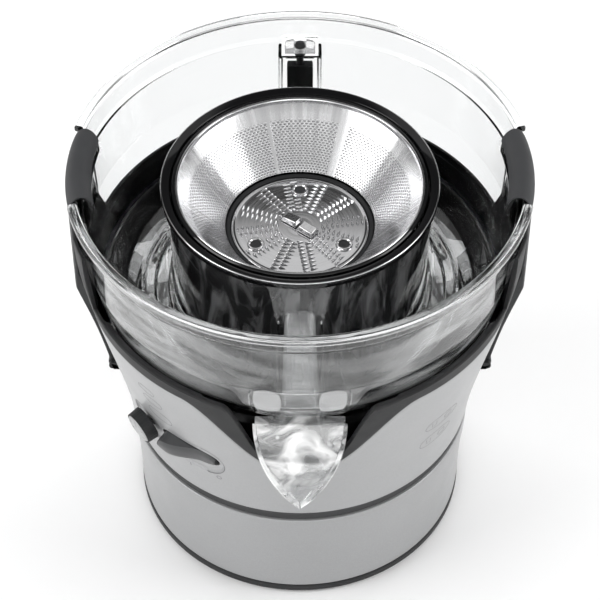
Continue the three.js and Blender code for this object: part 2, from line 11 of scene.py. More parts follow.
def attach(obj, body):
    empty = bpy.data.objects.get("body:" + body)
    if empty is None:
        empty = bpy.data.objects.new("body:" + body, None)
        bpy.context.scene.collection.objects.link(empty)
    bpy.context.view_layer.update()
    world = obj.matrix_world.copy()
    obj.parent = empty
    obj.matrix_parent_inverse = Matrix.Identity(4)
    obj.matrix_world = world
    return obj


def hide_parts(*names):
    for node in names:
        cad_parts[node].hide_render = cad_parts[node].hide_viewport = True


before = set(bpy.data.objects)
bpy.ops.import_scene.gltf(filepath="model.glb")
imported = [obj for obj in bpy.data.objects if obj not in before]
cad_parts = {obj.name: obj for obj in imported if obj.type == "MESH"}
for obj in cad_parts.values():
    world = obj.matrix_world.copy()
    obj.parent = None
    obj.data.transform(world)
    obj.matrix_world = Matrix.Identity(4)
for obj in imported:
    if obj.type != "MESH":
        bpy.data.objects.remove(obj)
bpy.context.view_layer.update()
MM = 0.001
SHELL_TOP = 181  # where the silver shell meets the black collar
MOUTH_LOW = 131  # bottom of the dip in that line, below the spout
KNOB_SEAT = (53.3, 117)  # angle and height on the shell
ROCKER_SEAT = (36, 118)
DISC_Z = 206  # underside of the grating disc
RIVETS = (180, 300, 60)  # angles round the disc
RIVET_R = 27.5
PIN_Y = 110.2  # axis of the lid interlock's pin


def smooth(x, low, high):
    t = min(max((x - low) / (high - low), 0.0), 1.0)
    return t * t * (3 - 2 * t)


def mix(a, b, t):
    return a + (b - a) * t


def body_radius(z):
    """Outer radius of the silver body."""
    if z < 62:
        return 95 + 2.5 * (z / 62) ** 3
    return 97.5 + 26.5 * smooth(z, 62, 234)


def polar(angle, r, z):
    """A point by compass angle from the spout (towards -X), radius and height."""
    a = math.radians(angle)
    return (-r * math.sin(a), -r * math.cos(a), z)


def seam_height(angle):
    """Height of the shell's top edge, which dips for the spout."""
    return MOUTH_LOW + (SHELL_TOP - MOUTH_LOW) * smooth(abs(angle), 7, 32)


def collar_top(angle):
    """Height of the collar's top edge: low at the spout, with an ear inside each clamp."""
    a = abs(angle)
    if a > 66:
        return 234 - 49 * smooth(a, 101, 110)
    return 141.5 + 48 * smooth(a, 10, 20) + 0.12 * max(0, a - 21)


def spun(outline, facets, x=0, y=0):
    """Points of an (r, z) outline turned about the upright line through x, y."""
    angles = [2 * math.pi * k / facets for k in range(facets)]
    return [(x + r * math.cos(a), y + r * math.sin(a), z) for a in angles for r, z in outline]


# ---------- materials ----------


class Nodes:
    """A short way to build a node tree."""

    def __init__(self, tree):
        self.tree = tree

    def add(self, kind, inputs=None, **settings):
        node = self.tree.nodes.new(kind)
        for key, value in settings.items():
            setattr(node, key, value)
        for key, value in (inputs or {}).items():
            if isinstance(value, bpy.types.NodeSocket):
                self.tree.links.new(value, node.inputs[key])
            else:
                node.inputs[key].default_value = value
        return node

    def math(self, operation, a, b=0.0, c=0.0):
        return self.add("ShaderNodeMath", {0: a, 1: b, 2: c}, operation=operation).outputs[0]

    def noise(self, scale, detail=4.0, vector=None):
        inputs = {"Scale": scale, "Detail": detail}
        if vector is not None:
            inputs["Vector"] = vector
        return self.add("ShaderNodeTexNoise", inputs).outputs["Fac"]

    def remap(self, value, low, high, to_low, to_high):
        return self.add(
            "ShaderNodeMapRange",
            {"Value": value, "From Min": low, "From Max": high, "To Min": to_low, "To Max": to_high},
        ).outputs["Result"]

    def colour(self, factor, dark, light):
        node = self.add("ShaderNodeMix", {0: factor}, data_type="RGBA")
        for index, value in ((6, dark), (7, light)):
            if isinstance(value, bpy.types.NodeSocket):
                self.tree.links.new(value, node.inputs[index])
            else:
                node.inputs[index].default_value = (*value, 1)
        return node.outputs[2]

    def bump(self, height, distance, strength=1.0):
        inputs = {"Height": height, "Distance": distance, "Strength": strength}
        return self.add("ShaderNodeBump", inputs).outputs["Normal"]

    def times(self, a, b):
        return self.math("MULTIPLY", a, b)

    def minus(self, a, b):
        return self.math("SUBTRACT", a, b)

    def vector(self, x, y):
        return self.add("ShaderNodeCombineXYZ", {0: x, 1: y}).outputs[0]

    def split(self, vector):
        return self.add("ShaderNodeSeparateXYZ", {"Vector": vector}).outputs

    def radius(self, split):
        squares = [self.times(split[i], split[i]) for i in (0, 1)]
        return self.math("SQRT", self.math("ADD", *squares))

    def object_space(self):
        return self.add("ShaderNodeTexCoord").outputs["Object"]

    def stretched(self, scale):
        coords = self.object_space()
        return self.add("ShaderNodeMapping", {"Vector": coords, "Scale": scale}).outputs["Vector"]


def new_material(name, **sockets):
    material = bpy.data.materials.new(name)
    material.use_nodes = True
    tree = material.node_tree
    shader = tree.nodes["Principled BSDF"]
    for key, value in sockets.items():
        shader.inputs[key.replace("_", " ")].default_value = value
    return material, Nodes(tree), shader


def connect(nodes, shader, **links):
    for key, value in links.items():
        nodes.tree.links.new(value, shader.inputs[key.replace("_", " ")])


def grained_plastic(name, colour, roughness, grain=0.00006, scale=2600, spread=0.05, specular=0.5):
    """Moulded plastic with a fine texture and slight wear in its sheen."""
    material, n, shader = new_material(name, Specular_IOR_Level=specular)
    coords = n.object_space()
    cloud = n.noise(38, 5, coords)
    light = tuple(min(c * (1 + spread) + 0.004, 1) for c in colour)
    dark = tuple(c * (1 - spread) for c in colour)
    connect(
        n, shader,
        Base_Color=n.colour(cloud, dark, light),
        Roughness=n.remap(n.noise(90, 6, coords), 0.3, 0.7, roughness - 0.04, roughness + 0.05),
        Normal=n.bump(n.noise(scale, 2, coords), grain),
    )
    return material


def gloss_plastic(name, colour, roughness=0.06, coat=0.4):
    """Polished plastic, with a faint change of sheen."""
    material, n, shader = new_material(name, Coat_Weight=coat, Coat_Roughness=0.03)
    coords = n.object_space()
    connect(
        n, shader,
        Base_Color=n.colour(n.noise(20, 3, coords), tuple(c * 0.85 for c in colour), colour),
        Roughness=n.remap(n.noise(55, 5, coords), 0.3, 0.75, roughness * 0.7, roughness * 1.7),
        Normal=n.bump(n.noise(70, 2, coords), 0.00002),
    )
    return material


def silver_paint(name, base):
    """Satin metallic paint: fine flakes, a soft clear coat and a faint orange peel."""
    material, n, shader = new_material(name, Metallic=0.35, Coat_Weight=0.25, Coat_Roughness=0.22)
    coords = n.object_space()
    flakes = n.add("ShaderNodeTexVoronoi", {"Vector": coords, "Scale": 2600.0}).outputs["Color"]
    flake = n.add("ShaderNodeSeparateColor", {"Color": flakes}).outputs[0]
    connect(
        n, shader,
        Base_Color=n.colour(flake, tuple(c * 0.95 for c in base), tuple(min(c * 1.05, 1) for c in base)),
        Roughness=n.remap(n.noise(60, 5, coords), 0.3, 0.7, 0.36, 0.42),
        Normal=n.bump(n.noise(420, 2, coords), 0.00003),
    )
    return material


def turned_steel(name, base=(0.80, 0.80, 0.81), roughness=0.16, lines=900.0):
    """Steel polished on a lathe: fine rings round the drive axis."""
    material, n, shader = new_material(name, Metallic=1.0)
    coords = n.object_space()
    split = n.split(coords)
    radius = n.radius(split)
    rings = n.noise(1.0, 3, n.vector(n.times(radius, lines), n.times(split[2], lines)))
    connect(
        n, shader,
        Base_Color=n.colour(n.noise(25, 4, coords), tuple(c * 0.93 for c in base), base),
        Roughness=n.remap(rings, 0.25, 0.75, roughness * 0.7, roughness * 1.5),
        Normal=n.bump(rings, 0.00002, 0.5),
    )
    return material


def perforated_steel(name):
    """Sheet steel with staggered rows of small slots between z = 209 and 231 mm, and plain seams."""
    material, n, shader = new_material(name, Metallic=1.0)
    coords = n.object_space()
    split = n.split(coords)
    angle = n.math("ARCTAN2", split[0], split[1])
    row = n.times(split[2], 1000 / 1.05)
    whole_row = n.math("FLOOR", row)
    odd = n.times(n.math("PINGPONG", whole_row, 1.0), 0.5)
    across = n.math("FRACT", n.math("ADD", n.times(angle, 150 / (2 * math.pi)), odd))
    up = n.math("FRACT", row)
    dx = n.math("ABSOLUTE", n.minus(across, 0.5))
    dy = n.math("ABSOLUTE", n.minus(up, 0.5))
    side = n.remap(dx, 0.28, 0.36, 1.0, 0.0)
    top = n.remap(dy, 0.2, 0.3, 1.0, 0.0)
    inside = n.times(n.remap(split[2], 0.2090, 0.2094, 0, 1), n.remap(split[2], 0.2312, 0.2316, 1, 0))
    seams = inside
    for centre, half in ((math.radians(-17.2), 0.016), (math.radians(24.2), 0.05)):
        distance = n.math("ABSOLUTE", n.minus(angle, centre))
        seams = n.times(seams, n.remap(distance, half, half + 0.006, 0, 1))
    hole = n.times(n.times(side, top), seams)
    streaks = n.noise(4.0, 3, n.vector(n.times(angle, 5.0), n.times(split[2], 6.0)))
    steel = n.colour(streaks, (0.70, 0.70, 0.71), (0.86, 0.86, 0.87))
    connect(
        n, shader,
        Base_Color=n.colour(hole, steel, (0.30, 0.30, 0.305)),
        Roughness=n.math("ADD", n.remap(streaks, 0.3, 0.7, 0.16, 0.3), n.times(hole, 0.3)),
        Normal=n.bump(n.minus(1.0, hole), 0.0003, 0.6),
    )
    return material


def clear_plastic(
    name, tint=(0.955, 0.965, 0.968), haze=0.0, front_painted_pale=0.0, side_painted_pale=0.0, roughness=0.015
):
    """Polished polycarbonate with an even haze. A painted pale sheen on the outside of the front wall,
    stronger towards its sides and in soft level bands, stands in for light on that wall.
    """
    material, n, shader = new_material(name, IOR=1.49, Coat_Weight=0.0)
    coords = n.object_space()
    split = n.split(coords)
    forward = n.remap(split[1], -0.02, -0.06, 0.0, 1.0)
    aside = n.remap(n.math("ABSOLUTE", split[0]), 0.035, 0.085, front_painted_pale, front_painted_pale + side_painted_pale)
    radius = n.radius(split)
    outer = n.remap(radius, 0.108, 0.112, 0.0, 1.0)
    low = n.remap(split[2], 0.2435, 0.2395, 0.0, 1.0)
    swirl = {"Vector": n.stretched((1.0, 1.0, 3.2)), "Scale": 11.0, "Detail": 4.0, "Distortion": 2.2}
    bands = n.add("ShaderNodeTexNoise", swirl).outputs["Fac"]
    cloud = n.remap(bands, 0.42, 0.6, 0.0, 2.4)
    where = n.times(n.times(forward, outer), low)
    # painted light: where this mask is high, the front wall's outer skin turns from clear to diffuse white
    painted_pale_mask = n.times(n.times(where, aside), cloud)
    clear = n.math("MAXIMUM", n.minus(1.0 - haze, painted_pale_mask), 0.0)
    connect(
        n, shader,
        Base_Color=n.colour(n.noise(14, 3, coords), tuple(c * 0.985 for c in tint), tint),
        Transmission_Weight=clear,
        Roughness=n.remap(n.noise(40, 4, coords), 0.3, 0.7, roughness * 0.6, roughness * 1.6),
        Normal=n.bump(n.noise(26, 2, coords), 0.0002),
    )
    return material


def smoked_plastic(name):
    """Dark see-through wall of the collector, in a polished skin, with soft upright streaks of painted
    reflection: lighter streaks painted into the base colour.
    """
    material, n, shader = new_material(name, Coat_Weight=1.0, Coat_Roughness=0.02, Roughness=0.05)
    coords = n.object_space()
    split = n.split(coords)
    angle = n.math("ARCTAN2", split[0], split[1])
    flow = n.vector(n.times(angle, 3.2), n.times(split[2], 14.0))
    painted_streak = n.add(
        "ShaderNodeTexNoise", {"Vector": flow, "Scale": 1.6, "Detail": 3.0, "Distortion": 1.4}
    ).outputs["Fac"]
    # painted reflection: the lighter upright streaks in the base colour
    light = n.remap(painted_streak, 0.46, 0.66, 0.0, 1.0)
    connect(
        n, shader,
        Base_Color=n.colour(light, (0.012, 0.012, 0.0125), (0.13, 0.13, 0.132)),
        Normal=n.bump(n.noise(18, 2, coords), 0.0006),
    )
    return material


def spout_plastic(name):
    """Thick clear plastic with painted light: bright folds, painted near-white and less see-through, stand
    in for light caught in the plastic, with clear patches between them.
    """
    material, n, shader = new_material(name, IOR=1.49, Coat_Weight=1.0, Coat_Roughness=0.01)
    coords = n.object_space()
    folds = n.add(
        "ShaderNodeTexNoise",
        {"Vector": n.stretched((1.0, 1.2, 1.7)), "Scale": 34.0, "Detail": 2.5, "Distortion": 1.8}
    ).outputs["Fac"]
    # painted light: where the folds are bright, the plastic turns diffuse near-white instead of clear
    painted_light = n.remap(folds, 0.40, 0.58, 0.12, 0.88)
    connect(
        n, shader,
        Base_Color=n.colour(painted_light, (0.93, 0.94, 0.945), (0.985, 0.985, 0.985)),
        Transmission_Weight=n.minus(1.0, painted_light),
        Roughness=n.remap(n.noise(40, 4, coords), 0.3, 0.7, 0.01, 0.05),
        Normal=n.bump(folds, 0.0016, 0.9),
    )
    return material


SILVER = silver_paint("silver_paint", (0.358, 0.361, 0.366))
SILVER_LOW = silver_paint("silver_paint_base", (0.335, 0.338, 0.343))
MATTE = grained_plastic("black_grained", (0.016, 0.0165, 0.0175), 0.5, specular=0.3)
# painted shade: the collar's outer face and lip get a darker copy of the black matte plastic, set darker
# against the front light
LIP_SHADED = grained_plastic("collar_lip_shaded", (0.013, 0.0132, 0.014), 0.5, specular=0.25)
SOFT = grained_plastic("soft_grip", (0.040, 0.041, 0.043), 0.62, grain=0.00009, scale=1800, specular=0.3)
GROOVE = grained_plastic("groove_grey", (0.022, 0.0225, 0.024), 0.5)
ROCKER = grained_plastic("rocker_grey", (0.045, 0.046, 0.048), 0.34, grain=0.00003)
INK = grained_plastic("print_grey", (0.16, 0.16, 0.165), 0.5)
RUBBER = grained_plastic("rubber", (0.02, 0.02, 0.021), 0.75)
CARBON = grained_plastic("carbon", (0.03, 0.03, 0.03), 0.8)
BOARD = grained_plastic("circuit_board", (0.02, 0.13, 0.05), 0.4)
GLOSS = gloss_plastic("black_gloss", (0.005, 0.005, 0.0055), 0.05, coat=0.0)
BLADE = turned_steel("blade_steel", (0.74, 0.74, 0.75), 0.05, 500.0)
SMOKE = smoked_plastic("collector_smoke")
STEEL = turned_steel("turned_steel")
CHROME = turned_steel("polished_edge", (0.86, 0.86, 0.87), 0.07)
MESH_STEEL = perforated_steel("perforated_steel")
IRON = turned_steel("motor_iron", (0.33, 0.34, 0.35), 0.45, 400.0)
COPPER = turned_steel("copper", (0.62, 0.28, 0.13), 0.35, 700.0)
# the bowl gets a painted pale sheen on the outside of its front wall
CLEAR = clear_plastic("bowl_clear", front_painted_pale=0.034, side_painted_pale=0.078)
CRYSTAL = clear_plastic("post_clear", (0.985, 0.99, 0.99))
SPOUT = spout_plastic("spout_clear")
TAB = clear_plastic("tab_clear", (0.97, 0.975, 0.98), haze=0.22, roughness=0.08)
DUCT = clear_plastic("duct_clear", (0.97, 0.975, 0.98), haze=0.16, roughness=0.03)

# ---------- geometry helpers ----------

BLOCK_FACES = ((0, 3, 2, 1), (4, 5, 6, 7), (0, 1, 5, 4), (1, 2, 6, 5), (2, 3, 7, 6), (3, 0, 4, 7))


def make(name, points, faces, materials, body, replaces=(), slot=None, pick=None, sharp=38):
    """A mesh piece from points in mm. pick gives each face's material index."""
    mesh = bpy.data.meshes.new(name)
    mesh.from_pydata([tuple(c * MM for c in p) for p in points], [], faces)
    materials = materials if isinstance(materials, (list, tuple)) else [materials]
    for material in materials:
        mesh.materials.append(material)
    if pick is not None:
        mesh.polygons.foreach_set("material_index", [pick(i) for i in range(len(faces))])
    mesh.polygons.foreach_set("use_smooth", [True] * len(mesh.polygons))
    mesh.validate()
    mesh.update()
    outward(mesh)
    mesh.set_sharp_from_angle(angle=math.radians(sharp))
    piece = bpy.data.objects.new(name, mesh)
    bpy.context.scene.collection.objects.link(piece)
    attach(piece, body)
    if replaces:
        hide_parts(*replaces)
    return piece


def outward(mesh):
    """Turns the faces round if the closed mesh has a negative volume."""
    points = np.array([v.co for v in mesh.vertices])
    mesh.calc_loop_triangles()
    corners = np.array([t.vertices[:] for t in mesh.loop_triangles])
    a, b, c = (points[corners[:, k]] for k in range(3))
    if np.einsum("ij,ij->i", a, np.cross(b, c)).sum() < 0:
        mesh.flip_normals()


def grid_faces(nu, nv, wrap_u, wrap_v):
    faces = []
    for i in range(nu if wrap_u else nu - 1):
        for j in range(nv if wrap_v else nv - 1):
            a, b = i * nv + j, i * nv + (j + 1) % nv
            c, d = ((i + 1) % nu) * nv + (j + 1) % nv, ((i + 1) % nu) * nv + j
            faces.append((a, b, c, d))
    return faces


def rounded(outline, radius, steps=4, closed=True):
    """Fillets each corner of a [r, z] outline. A corner may carry its own radius as a third number."""
    result = []
    count = len(outline)
    for i, corner in enumerate(outline):
        p = Vector(corner[:2])
        if not closed and i in (0, count - 1):
            result.append((p.x, p.y))
            continue
        before, after = Vector(outline[i - 1][:2]), Vector(outline[(i + 1) % count][:2])
        u, w = (before - p), (after - p)
        own = corner[2] if len(corner) > 2 else radius
        turn = math.pi - u.angle(w)
        if own <= 0 or turn < math.radians(8):
            result.append((p.x, p.y))
            continue
        reach = min(own * math.tan(turn / 2), 0.46 * u.length, 0.46 * w.length)
        a, b = p + u.normalized() * reach, p + w.normalized() * reach
        for k in range(steps + 1):
            t = k / steps
            q = a * (1 - t) ** 2 + p * 2 * t * (1 - t) + b * t * t
            result.append((q.x, q.y))
    return result


def revolve(name, outline, material, body, facets=192, **extra):
    """A turned piece. The outline closes on itself, or starts and ends on the axis."""
    on_axis = outline[0][0] == 0 and outline[-1][0] == 0
    n = len(outline)
    points = [polar(360 * i / facets, r, z) for i in range(facets) for r, z in outline]
    return make(name, points, grid_faces(facets, n, True, not on_axis), material, body, **extra)


def lofted(name, angles, section, material, body, wrap=True, **extra):
    """A ring whose closed section changes with the angle. An open ring gets its two ends capped."""
    rings = [section(a) for a in angles]
    n = len(rings[0])
    points = [polar(a, r, z) for a, ring in zip(angles, rings) for r, z in ring]
    faces = grid_faces(len(angles), n, wrap, True)
    if not wrap:
        faces.append(tuple(reversed(range(n))))
        faces.append(tuple(range((len(angles) - 1) * n, len(angles) * n)))
    return make(name, points, faces, material, body, **extra)


def slab(name, nu, nv, outer, inner, material, body, **extra):
    """A thick skin between two surfaces over the unit square, with its rim closed."""
    points = [f(i / nu, j / nv) for f in (outer, inner) for i in range(nu + 1) for j in range(nv + 1)]
    size = (nu + 1) * (nv + 1)
    at = lambda s, i, j: s * size + i * (nv + 1) + j
    faces = []
    for i in range(nu):
        for j in range(nv):
            faces.append((at(0, i, j), at(0, i + 1, j), at(0, i + 1, j + 1), at(0, i, j + 1)))
            faces.append((at(1, i, j), at(1, i, j + 1), at(1, i + 1, j + 1), at(1, i + 1, j)))
    for i in range(nu):
        faces.append((at(0, i, 0), at(1, i, 0), at(1, i + 1, 0), at(0, i + 1, 0)))
        faces.append((at(0, i, nv), at(0, i + 1, nv), at(1, i + 1, nv), at(1, i, nv)))
    for j in range(nv):
        faces.append((at(0, 0, j), at(0, 0, j + 1), at(1, 0, j + 1), at(1, 0, j)))
        faces.append((at(0, nu, j), at(1, nu, j), at(1, nu, j + 1), at(0, nu, j + 1)))
    return make(name, points, faces, material, body, **extra)


def bevelled(piece, width, segments=3, angle=35):
    modifier = piece.modifiers.new("edges", "BEVEL")
    modifier.width = width * MM
    modifier.segments = segments
    modifier.limit_method = "ANGLE"
    modifier.angle_limit = math.radians(angle)
    modifier.harden_normals = False
    return piece


def applied(piece):
    """The piece with its modifiers made part of its mesh."""
    graph = bpy.context.evaluated_depsgraph_get()
    mesh = bpy.data.meshes.new_from_object(piece.evaluated_get(graph))
    piece.modifiers.clear()
    piece.data = mesh
    return piece


def carved(piece, *cutters):
    """The piece with the cutters' volumes taken away."""
    for cutter in cutters:
        modifier = piece.modifiers.new("cut", "BOOLEAN")
        modifier.operation = "DIFFERENCE"
        modifier.solver = "EXACT"
        modifier.object = cutter
    applied(piece)
    for cutter in cutters:
        bpy.data.objects.remove(cutter)
    piece.data.polygons.foreach_set("use_smooth", [True] * len(piece.data.polygons))
    piece.data.set_sharp_from_angle(angle=math.radians(38))
    return piece


def cutter(points, faces):
    mesh = bpy.data.meshes.new("cutter")
    mesh.from_pydata([tuple(c * MM for c in p) for p in points], [], faces)
    mesh.update()
    outward(mesh)
    piece = bpy.data.objects.new("cutter", mesh)
    bpy.context.scene.collection.objects.link(piece)
    return piece


def cutter_box(x0, x1, y0, y1, z0, z1):
    points = [(x, y, z) for x in (x0, x1) for y in (y0, y1) for z in (z0, z1)]
    faces = [(0, 1, 3, 2), (4, 6, 7, 5), (0, 4, 5, 1), (2, 3, 7, 6), (0, 2, 6, 4), (1, 5, 7, 3)]
    return cutter(points, faces)


def squared(angle, a, b, power_a, power_b):
    """A point of a squared-off or pinched ellipse; powers of 1 give the plain one."""
    c, s = math.cos(angle), math.sin(angle)
    return a * math.copysign(abs(c) ** power_a, c), b * math.copysign(abs(s) ** power_b, s)


def shell_seat(angle, z):
    """Matrix of a place on the silver shell: local X to the right, Y up the shell, Z out of it."""
    tilt = math.atan((body_radius(z + 2) - body_radius(z - 2)) / 4)
    out = Vector(polar(angle, math.cos(tilt), -math.sin(tilt)))
    right = Vector((0, 0, 1)).cross(out).normalized()
    up = out.cross(right)
    m = Matrix((right, up, out)).transposed().to_4x4()
    m.translation = Vector(polar(angle, body_radius(z), z))
    return m


def seated(matrix, points):
    return [tuple(matrix @ Vector(p)) for p in points]


def loop_faces(rings, n):
    """Faces of a closed tube of n-point rings."""
    faces = grid_faces(rings, n, False, True)
    return faces + [tuple(reversed(range(n))), tuple(range((rings - 1) * n, rings * n))]


# ---------- motor base ----------


def lower_shell():
    outer = [(93.8, 6.3, 0.3), (94.8, 7.2, 0.8)]
    outer += [(body_radius(z), z, 0) for z in np.linspace(11, 66, 10)]
    outer += [
        (body_radius(71.6) - 0.1, 71.8, 0.9), (94.9, 71.8, 0.3), (94.4, 60, 0.3), (92.4, 12, 1),
        (92.2, 6.3, 0.3)
    ]
    revolve(
        "lower_shell", rounded(outer, 0.8), SILVER_LOW, "base", replaces=["lower_housing"], slot="silver"
    )


def groove_band():
    outline = [
        (92.4, 67), (94.1, 67), (94.1, 72.2), (96.4, 72.2), (96.0, 75.5), (96.4, 78.8), (94.1, 78.8),
        (94.1, 84), (92.4, 84)
    ]
    revolve("groove_band", rounded(outline, 0.5), GROOVE, "base", replaces=["trim_band"], slot="grey_trim")


POCKET = {"angle": 42.0, "z": 117.5, "half": 21.5, "end": 12.5, "depth": 1.1}


def pocket_depth(angle, z):
    """How far the shell is set back in the pocket that holds the controls."""
    x = math.radians(POCKET["angle"] - angle) * 104.5
    y = (z - POCKET["z"]) * 1.01
    dx = max(abs(x) - POCKET["half"], 0)
    distance = math.hypot(dx, y) - POCKET["end"]
    return POCKET["depth"] * (1 - smooth(distance, -1.1, 0.15))


def upper_shell():
    angles = list(
        np.arange(-180, -26, 2.0)
    ) + list(np.arange(-26, 14, 0.75)) + list(np.arange(14, 70, 0.4)) + list(np.arange(70, 180, 2.0))
    rows = [0, 0.008, 0.02] + list(np.linspace(0.05, 0.97, 74)) + [0.985, 0.994, 1]

    def section(angle):
        low, high = 79.4, seam_height(angle)
        outer = []
        for t in rows:
            z = mix(low, high, t)
            edge = min(z - low, high - z)
            inset = 0.55 * (1 - smooth(edge, 0, 0.9)) + pocket_depth(angle, z)
            outer.append((body_radius(z) - inset, z))
        inner = [(body_radius(z) - 2.6, z) for z in np.linspace(high, low, 8)]
        return outer + inner

    piece = lofted("upper_shell", angles, section, SILVER, "base", replaces=["upper_housing"], slot="silver")
    seat = shell_seat(*ROCKER_SEAT)
    tool = []
    for depth in (-12, 3):
        for k in range(48):
            tool.append((*squared(2 * math.pi * k / 48, 19.6, 7.2, 0.8, 0.9), depth))
    rocker_hole = cutter(seated(seat, tool), loop_faces(2, 48))
    knob_seat = shell_seat(*KNOB_SEAT)
    ring = [
        (3.6 * math.cos(a), 3.6 * math.sin(a), d)
        for d in (-12, 3) for a in np.linspace(0, 2 * math.pi, 24, endpoint=False)
    ]
    carved(piece, rocker_hole, cutter(seated(knob_seat, ring), loop_faces(2, 24)))


def collar_angles():
    near = list(np.arange(0, 30, 0.75)) + list(np.arange(30, 66, 1.5))
    steps = [66, 66.3, 70, 73.6, 74.2, 78, 82, 86, 90, 94, 98, 102, 105.6, 106.2, 109.4, 109.8, 110.2, 110.6]
    far = list(np.arange(113, 180, 2.5))
    half = near + steps + far
    return [-a for a in reversed(half[1:])] + half + [180]


def collar():
    """The black collar: a matte outer wall with a rounded lip, in a darker copy of the black plastic as
    painted shade, and a glossy inner wall.
    """
    angles = collar_angles()
    rows = 12

    def section(angle):
        a = abs(angle)
        low, high = seam_height(angle) + 0.3, collar_top(angle)
        lip = 2.3 if a > 60 else 3.2 if a < 26 else 4.4
        channel = 74 < a < 106
        outer = []
        for t in np.linspace(0, 1, rows):
            z = mix(low, high - 1.2, t)
            r = min(body_radius(z), 121) if channel else body_radius(z)
            outer.append((r + 0.15 - 0.5 * (1 - smooth(z - low, 0, 0.8)), z))
        top = outer[-1][0]
        crest = [
            (top - 0.12 * lip, high - 0.35), (top - 0.42 * lip, high), (top - 0.8 * lip, high - 0.3),
            (top - lip, high - 1.2)
        ]
        inner = [(min(r, 121) - lip, z) for r, z in reversed(outer[:-1])]
        foot = low - 11 * smooth(a, 24, 34)
        skirt = [
            (body_radius(foot) - max(lip, 4.2), foot), (body_radius(foot) - 2.9, foot),
            (body_radius(low) - 2.9, low - 0.1)
        ]
        return outer + crest + inner + skirt

    n = len(section(0))
    glossy_from = rows + 2
    lofted(
        "collar_skin", angles, section, [LIP_SHADED, GLOSS], "base",
        replaces=["collar"], slot="black", pick=lambda i: 0 if i % n < glossy_from or i % n == n - 1 else 1,
    )


def deck():
    """The glossy black floor under the bowls, with raised rings and the wall behind the spout."""
    outline = [
        (14, 143), (80, 144), (100.4, 148.6), (107.2, 159), (110.2, 170.9), (108.2, 170.9), (105, 160.4),
        (98.8, 151.2), (92, 149.4), (91.4, 150.4), (90, 150.4), (89.4, 148.8), (80, 147.2), (17, 146.2),
        (17, 155), (14, 155),
    ]
    floor = revolve(
        "deck_floor", rounded(outline, 0.7), GLOSS, "base", replaces=["inner_deck"], slot="gloss_black"
    )
    carved(floor, cutter_box(-38, 38, -130, -60, 150.4, 180))

    def outer(u, v):
        z = mix(132, 162, v)
        return polar(20 * (1 - 2 * u), min(body_radius(z) - 4.4, 104.4), z)

    def inner(u, v):
        x, y, z = outer(u, v)
        return (x * 0.95, y * 0.95, z)

    panel = slab("spout_panel", 40, 14, outer, inner, GLOSS, "base", slot="gloss_black")
    carved(panel, cutter_box(-14.4, 14.4, -120, -80, 149.6, 190))


def base_edge():
    """The dark edge of the base plate, just below the silver shell."""
    outline = [(88, 1.0), (94.2, 1.0, 0.8), (95.1, 2.2, 0.8), (95.1, 5.4, 0.5), (94.5, 6.1, 0.3), (88, 6.1)]
    revolve("base_edge", rounded(outline, 0.3), MATTE, "base", slot="black")


base_edge()
lower_shell()
groove_band()
upper_shell()
collar()
deck()


# ---------- clear pieces ----------


def bowl():
    """The clear bowl: a rounded rim, a ledge for the lid and two notches for the clamps."""
    outside = [
        (124.3, 254.1, 0.9), (125.0, 252.6, 1.2), (125.0, 249.9, 0.8), (121.6, 249.5, 1.2),
        (120.6, 239.2, 1.2), (118.4, 236.9, 1.2),
        (116.9, 205, 6), (113.1, 187, 10), (106.3, 173.8, 8), (97, 165.2, 5), (86, 161, 4),
        (70.3, 159.5, 0.5),
    ]
    inside = [
        (70.3, 172, 0.5), (72.4, 172, 0.5), (72.6, 162.6, 1.2), (80, 162.8, 1), (81, 164.4, 0.6),
        (86.5, 164.8, 0.8), (88, 166.2, 0.8),
        (95.6, 167.9, 2), (104.1, 175.0, 8), (110.6, 188, 10), (114.4, 205.4, 6), (116.0, 238.0, 0.8),
        (118.0, 240.2, 1.0),
        (118.9, 251.0, 1.5), (120.6, 254.1, 1.2),
    ]
    outline = rounded(outside + inside, 0.8, 5)
    high = [i for i, (_, z) in enumerate(outline) if z > 236.4]
    start = next(i for i in range(len(outline)) if i in high and (i - 1) % len(outline) not in high)
    order = [(start + k) % len(outline) for k in range(len(high))]

    def section(angle):
        if abs(abs(angle) - 90) > 14:
            return outline
        ring = list(outline)
        for k, i in enumerate(order):
            t = k / (len(order) - 1)
            ring[i] = (mix(116.05, 118.3, t), 236.4 + 0.5 * math.sin(math.pi * t))
        return ring

    angles = []
    for a in np.arange(-180, 180, 1.5):
        angles.append(float(a))
        if a in (-105.0, -76.5, 75.0, 103.5):
            edge = math.copysign(104 if abs(a) > 90 else 76, a)
            angles += [edge - 0.02, edge + 0.02]
    piece = lofted("bowl_wall", sorted(angles), section, CLEAR, "base", replaces=["pulp_bowl"], slot="clear")
    carved(piece, cutter_box(-10, 10, 105, 130, 150, 239.6), cutter_box(-13.4, 13.4, -112, -60, 150, 173.6))


bowl()


